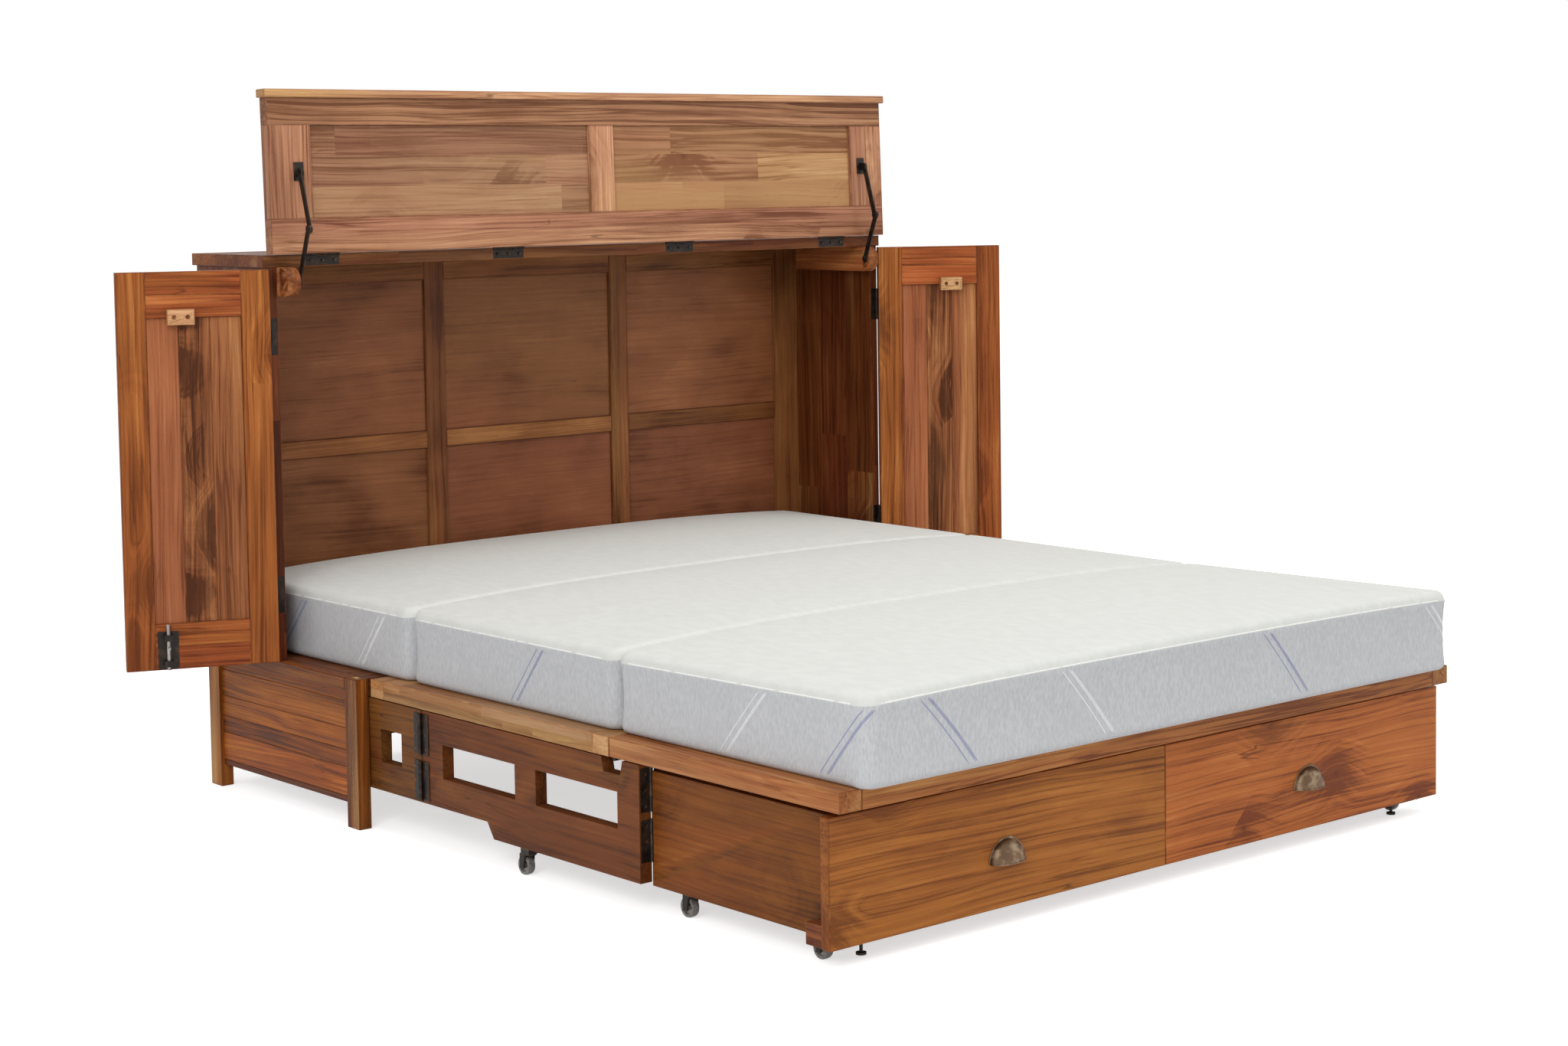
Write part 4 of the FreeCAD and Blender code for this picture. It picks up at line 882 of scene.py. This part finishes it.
def mattress_section(part, bands):
    """One section. Rings of the outline run in under the foot, up the drawn-in side, over a rounded shoulder
    and in across the crowned top, where the height falls off towards the edge and rolls a little. A band of
    sewn lines is its thread, its place as a share of the way round, and its lean in metres."""
    node = "mattress_" + part
    low, high = (np.array(corner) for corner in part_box(node))
    middle = (low + high) / 2
    half = (high - low) / 2
    height = high[2] - low[2]
    ring, normals, way = outline(half[0], half[1])
    edge_height = height - edge_drop(part, ring[:, 0], ring[:, 1], half)
    rng = np.random.default_rng(len(part))
    waves = [np.cos(2 * np.pi * way[:-1] / length + rng.uniform(0, 6)) for length in pucker_lengths]
    pucker = sum(waves) / len(waves)
    bottom = []
    for share in np.concatenate([np.linspace(0, 0.97, 9), [0.985]]):
        bottom.append(np.column_stack([(ring - normals * foot_round) * share, np.zeros(len(ring))]))
    rises = [np.full(len(ring), foot_round * (1 - np.cos(turn))) for turn in np.linspace(0, np.pi / 2, 6)]
    straight = edge_height - seam_drop - foot_round
    rises += [foot_round + share * straight for share in np.linspace(0, 1, 15)[1:]]
    sides = []
    for up in rises:
        pull = side_inset(up, edge_height) + side_pucker * pucker * np.clip(up / edge_height, 0, 1) ** 3
        sides.append(np.column_stack([ring - normals * pull[:, None], up]))
    tops = []
    for turn in np.linspace(0, np.pi / 2, 8)[1:]:
        inward = shoulder_step + shoulder * (1 - np.cos(turn))
        up = edge_height - seam_drop + seam_drop * np.sin(turn) + seam_pucker * pucker * np.cos(turn)
        tops.append(np.column_stack([ring - normals * inward, up]))
    rim = ring - normals * (shoulder_step + shoulder)
    for share in 1 - np.linspace(0, 1, 36)[1:] ** 1.15:
        row = rim * share
        x, y = row[:, 0] / half[0], row[:, 1] / half[1]
        crown = crown_height * (1 - x ** 4) * (1 - y ** 4)
        roll = roll_height * np.sin(5.1 * row[:, 0] + 2 * len(part)) * np.cos(7.3 * row[:, 1])
        fold = top_pucker * pucker * np.clip((share - 0.8) / 0.2, 0, 1)
        edge = height - edge_drop(part, row[:, 0], row[:, 1], half)
        up = edge + crown * (1 - share ** 8) + roll * (1 - share ** 4) + fold
        tops.append(np.column_stack([row, up]))
    grid_rows = np.array(bottom + sides + tops)
    points = grid_rows.reshape(-1, 3) + np.array([middle[0], middle[1], low[2]])
    faces = faces_between(np.arange(len(grid_rows) * len(ring)).reshape(-1, len(ring)))
    piece = put_mesh(part + "_section", points, faces, node, [side_knit, top_knit])
    row_of = np.repeat(np.arange(len(grid_rows) - 1), len(ring))
    on_top = row_of >= len(bottom) + len(sides) - 1
    piece.data.polygons.foreach_set("material_index", on_top.astype(np.int32))
    weld(piece)
    piece.data.shade_smooth()
    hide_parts(node)

    def on_side(along, share):
        """A point on the side at a way round and a share of the height up to the seam, and its outward
        direction."""
        columns = (ring[:, 0], ring[:, 1], normals[:, 0], normals[:, 1], edge_height)
        x, y, nx, ny, heights = (np.interp(along % way[-1], way, np.append(v, v[0])) for v in columns)
        up = share * (heights - seam_drop)
        outward = np.stack([nx, ny], axis=-1)
        flat = np.stack([x, y], axis=-1) - outward * side_inset(up, heights)[:, None]
        place = np.column_stack([flat + middle[:2], up + low[2]])
        return place, np.column_stack([outward, np.zeros(len(up))])

    path, outward = on_side(np.linspace(0, 1, 220) * way[-1], np.full(220, piping_share))
    tube, faces = cord_along(path - outward * piping_sink, outward, piping_radius)
    put_mesh(f"{part}_piping_0_00", tube, faces, node, [piping_cloth], 60)
    for label, material in (("lilac", lilac_thread), ("white", white_thread)):
        tubes = []
        faces = []
        for start, lean in [band[1:] for band in bands if band[0] == label]:
            for apart in thread_places:
                share = np.linspace(0.09, 0.97, 24)
                along = start * way[-1] + apart + lean * (share - 0.5) + 0.25 * lean * (share - 0.5) ** 2
                tube, cells = cord_along(*on_side(along, share), thread_radius)
                faces.append(cells + sum(len(other) for other in tubes))
                tubes.append(tube)
        if tubes:
            points = np.concatenate(tubes)
            faces = np.concatenate(faces)
            put_mesh(f"{part}_{label}_stitching", points, faces, node, [material], 60)


mattress_section("head", [
    ("lilac", 0.40, 0.11), ("white", 0.47, 0.10), ("white", 0.93, 0.10), ("lilac", 0.03, 0.10),
])
mattress_section("middle", [("lilac", 0.44, 0.10), ("lilac", 0.98, 0.10)])
mattress_section("foot", [
    ("white", 0.43, 0.12), ("lilac", 0.49, 0.12), ("lilac", 0.545, -0.12), ("white", 0.62, -0.12),
    ("lilac", 0.74, -0.12), ("white", 0.85, -0.12), ("lilac", 0.95, 0.12),
])

# ---- Studio ----
# A plain pale floor and surround, lit evenly by three large soft lamps, and the camera at the photograph's
# place. Floor and surround look brighter to the camera than they shine on the bed.
image_width = 2048
image_height = 1366
centre_x = 1200
centre_y = 478
camera_place = (-3.6173, -4.2998, 1.2897)
camera_yaw = math.radians(47.70)
camera_pitch = math.radians(-4.07)
camera_roll = math.radians(-0.65)
camera_lens = 63.43
floor_reach = 40
floor_shade = 0.86
floor_glow = 0.62
sky_light = 0.55
sky_seen = 1.0

camera = bpy.data.objects.new("camera", bpy.data.cameras.new("camera"))
bpy.context.scene.collection.objects.link(camera)
forward = np.array([
    math.cos(camera_pitch) * math.cos(camera_yaw),
    math.cos(camera_pitch) * math.sin(camera_yaw),
    math.sin(camera_pitch),
])
level = np.array([math.sin(camera_yaw), -math.cos(camera_yaw), 0.0])
upright = np.cross(level, forward)
right = level * math.cos(camera_roll) + upright * math.sin(camera_roll)
up = upright * math.cos(camera_roll) - level * math.sin(camera_roll)
place = np.eye(4)
place[:3, :4] = np.column_stack([right, up, -forward, camera_place])
camera.matrix_world = mathutils.Matrix(place.tolist())
camera.data.lens = camera_lens
camera.data.sensor_width = 36.0
camera.data.shift_x = (image_width / 2 - centre_x) / image_width
camera.data.shift_y = (centre_y - image_height / 2) / image_width
camera.data.clip_end = 100.0
bpy.context.scene.camera = camera


def seen_directly(tree):
    """1 where the camera looks, also by a reflection or through glass, and 0 for light that falls on the
    bed."""
    rays = shade(tree, "LightPath").outputs
    looked = calc(tree, "MAXIMUM", rays["Is Camera Ray"], rays["Is Glossy Ray"])
    return calc(tree, "MAXIMUM", looked, rays["Is Transmission Ray"])


floor_mesh = bpy.data.meshes.new("floor")
floor_square = [(x * floor_reach, y * floor_reach, 0) for x, y in ((-1, -1), (1, -1), (1, 1), (-1, 1))]
floor_mesh.from_pydata(floor_square, [], [(0, 1, 2, 3)])
floor = bpy.data.objects.new("floor", floor_mesh)
bpy.context.scene.collection.objects.link(floor)
paper = bpy.data.materials.new("white_floor")
paper.use_nodes = True
floor_mesh.materials.append(paper)
tree = paper.node_tree
finish = tree.nodes["Principled BSDF"]
finish.inputs["Base Color"].default_value = (floor_shade, floor_shade, floor_shade, 1)
finish.inputs["Roughness"].default_value = 0.9
finish.inputs["Specular IOR Level"].default_value = 0.1
finish.inputs["Emission Color"].default_value = (1, 1, 1, 1)
tree.links.new(times(tree, seen_directly(tree), floor_glow), finish.inputs["Emission Strength"])

world = bpy.data.worlds.new("studio")
bpy.context.scene.world = world
world.use_nodes = True
tree = world.node_tree
sky = tree.nodes["Background"]
sky.inputs["Color"].default_value = (1, 1, 1, 1)
tree.links.new(ease(tree, seen_directly(tree), 0, 1, sky_light, sky_seen), sky.inputs["Strength"])

for name, spot, aim, size, power in (
    ("key", (-4.6, -3.0, 3.4), (0, 0, 0.5), 2.6, 125),
    ("top", (0.4, -0.8, 4.6), (0, -0.2, 0.3), 3.2, 95),
    ("fill", (3.6, -4.4, 2.6), (0, 0, 0.6), 2.6, 42),
):
    lamp = bpy.data.objects.new(name, bpy.data.lights.new(name, "AREA"))
    bpy.context.scene.collection.objects.link(lamp)
    lamp.data.size = size
    lamp.data.energy = power
    lamp.location = spot
    away = np.array(spot, float) - np.array(aim, float)
    lamp.rotation_euler = (math.acos(away[2] / np.linalg.norm(away)), 0, math.atan2(away[0], -away[1]))

bpy.context.scene.view_settings.view_transform = "Standard"
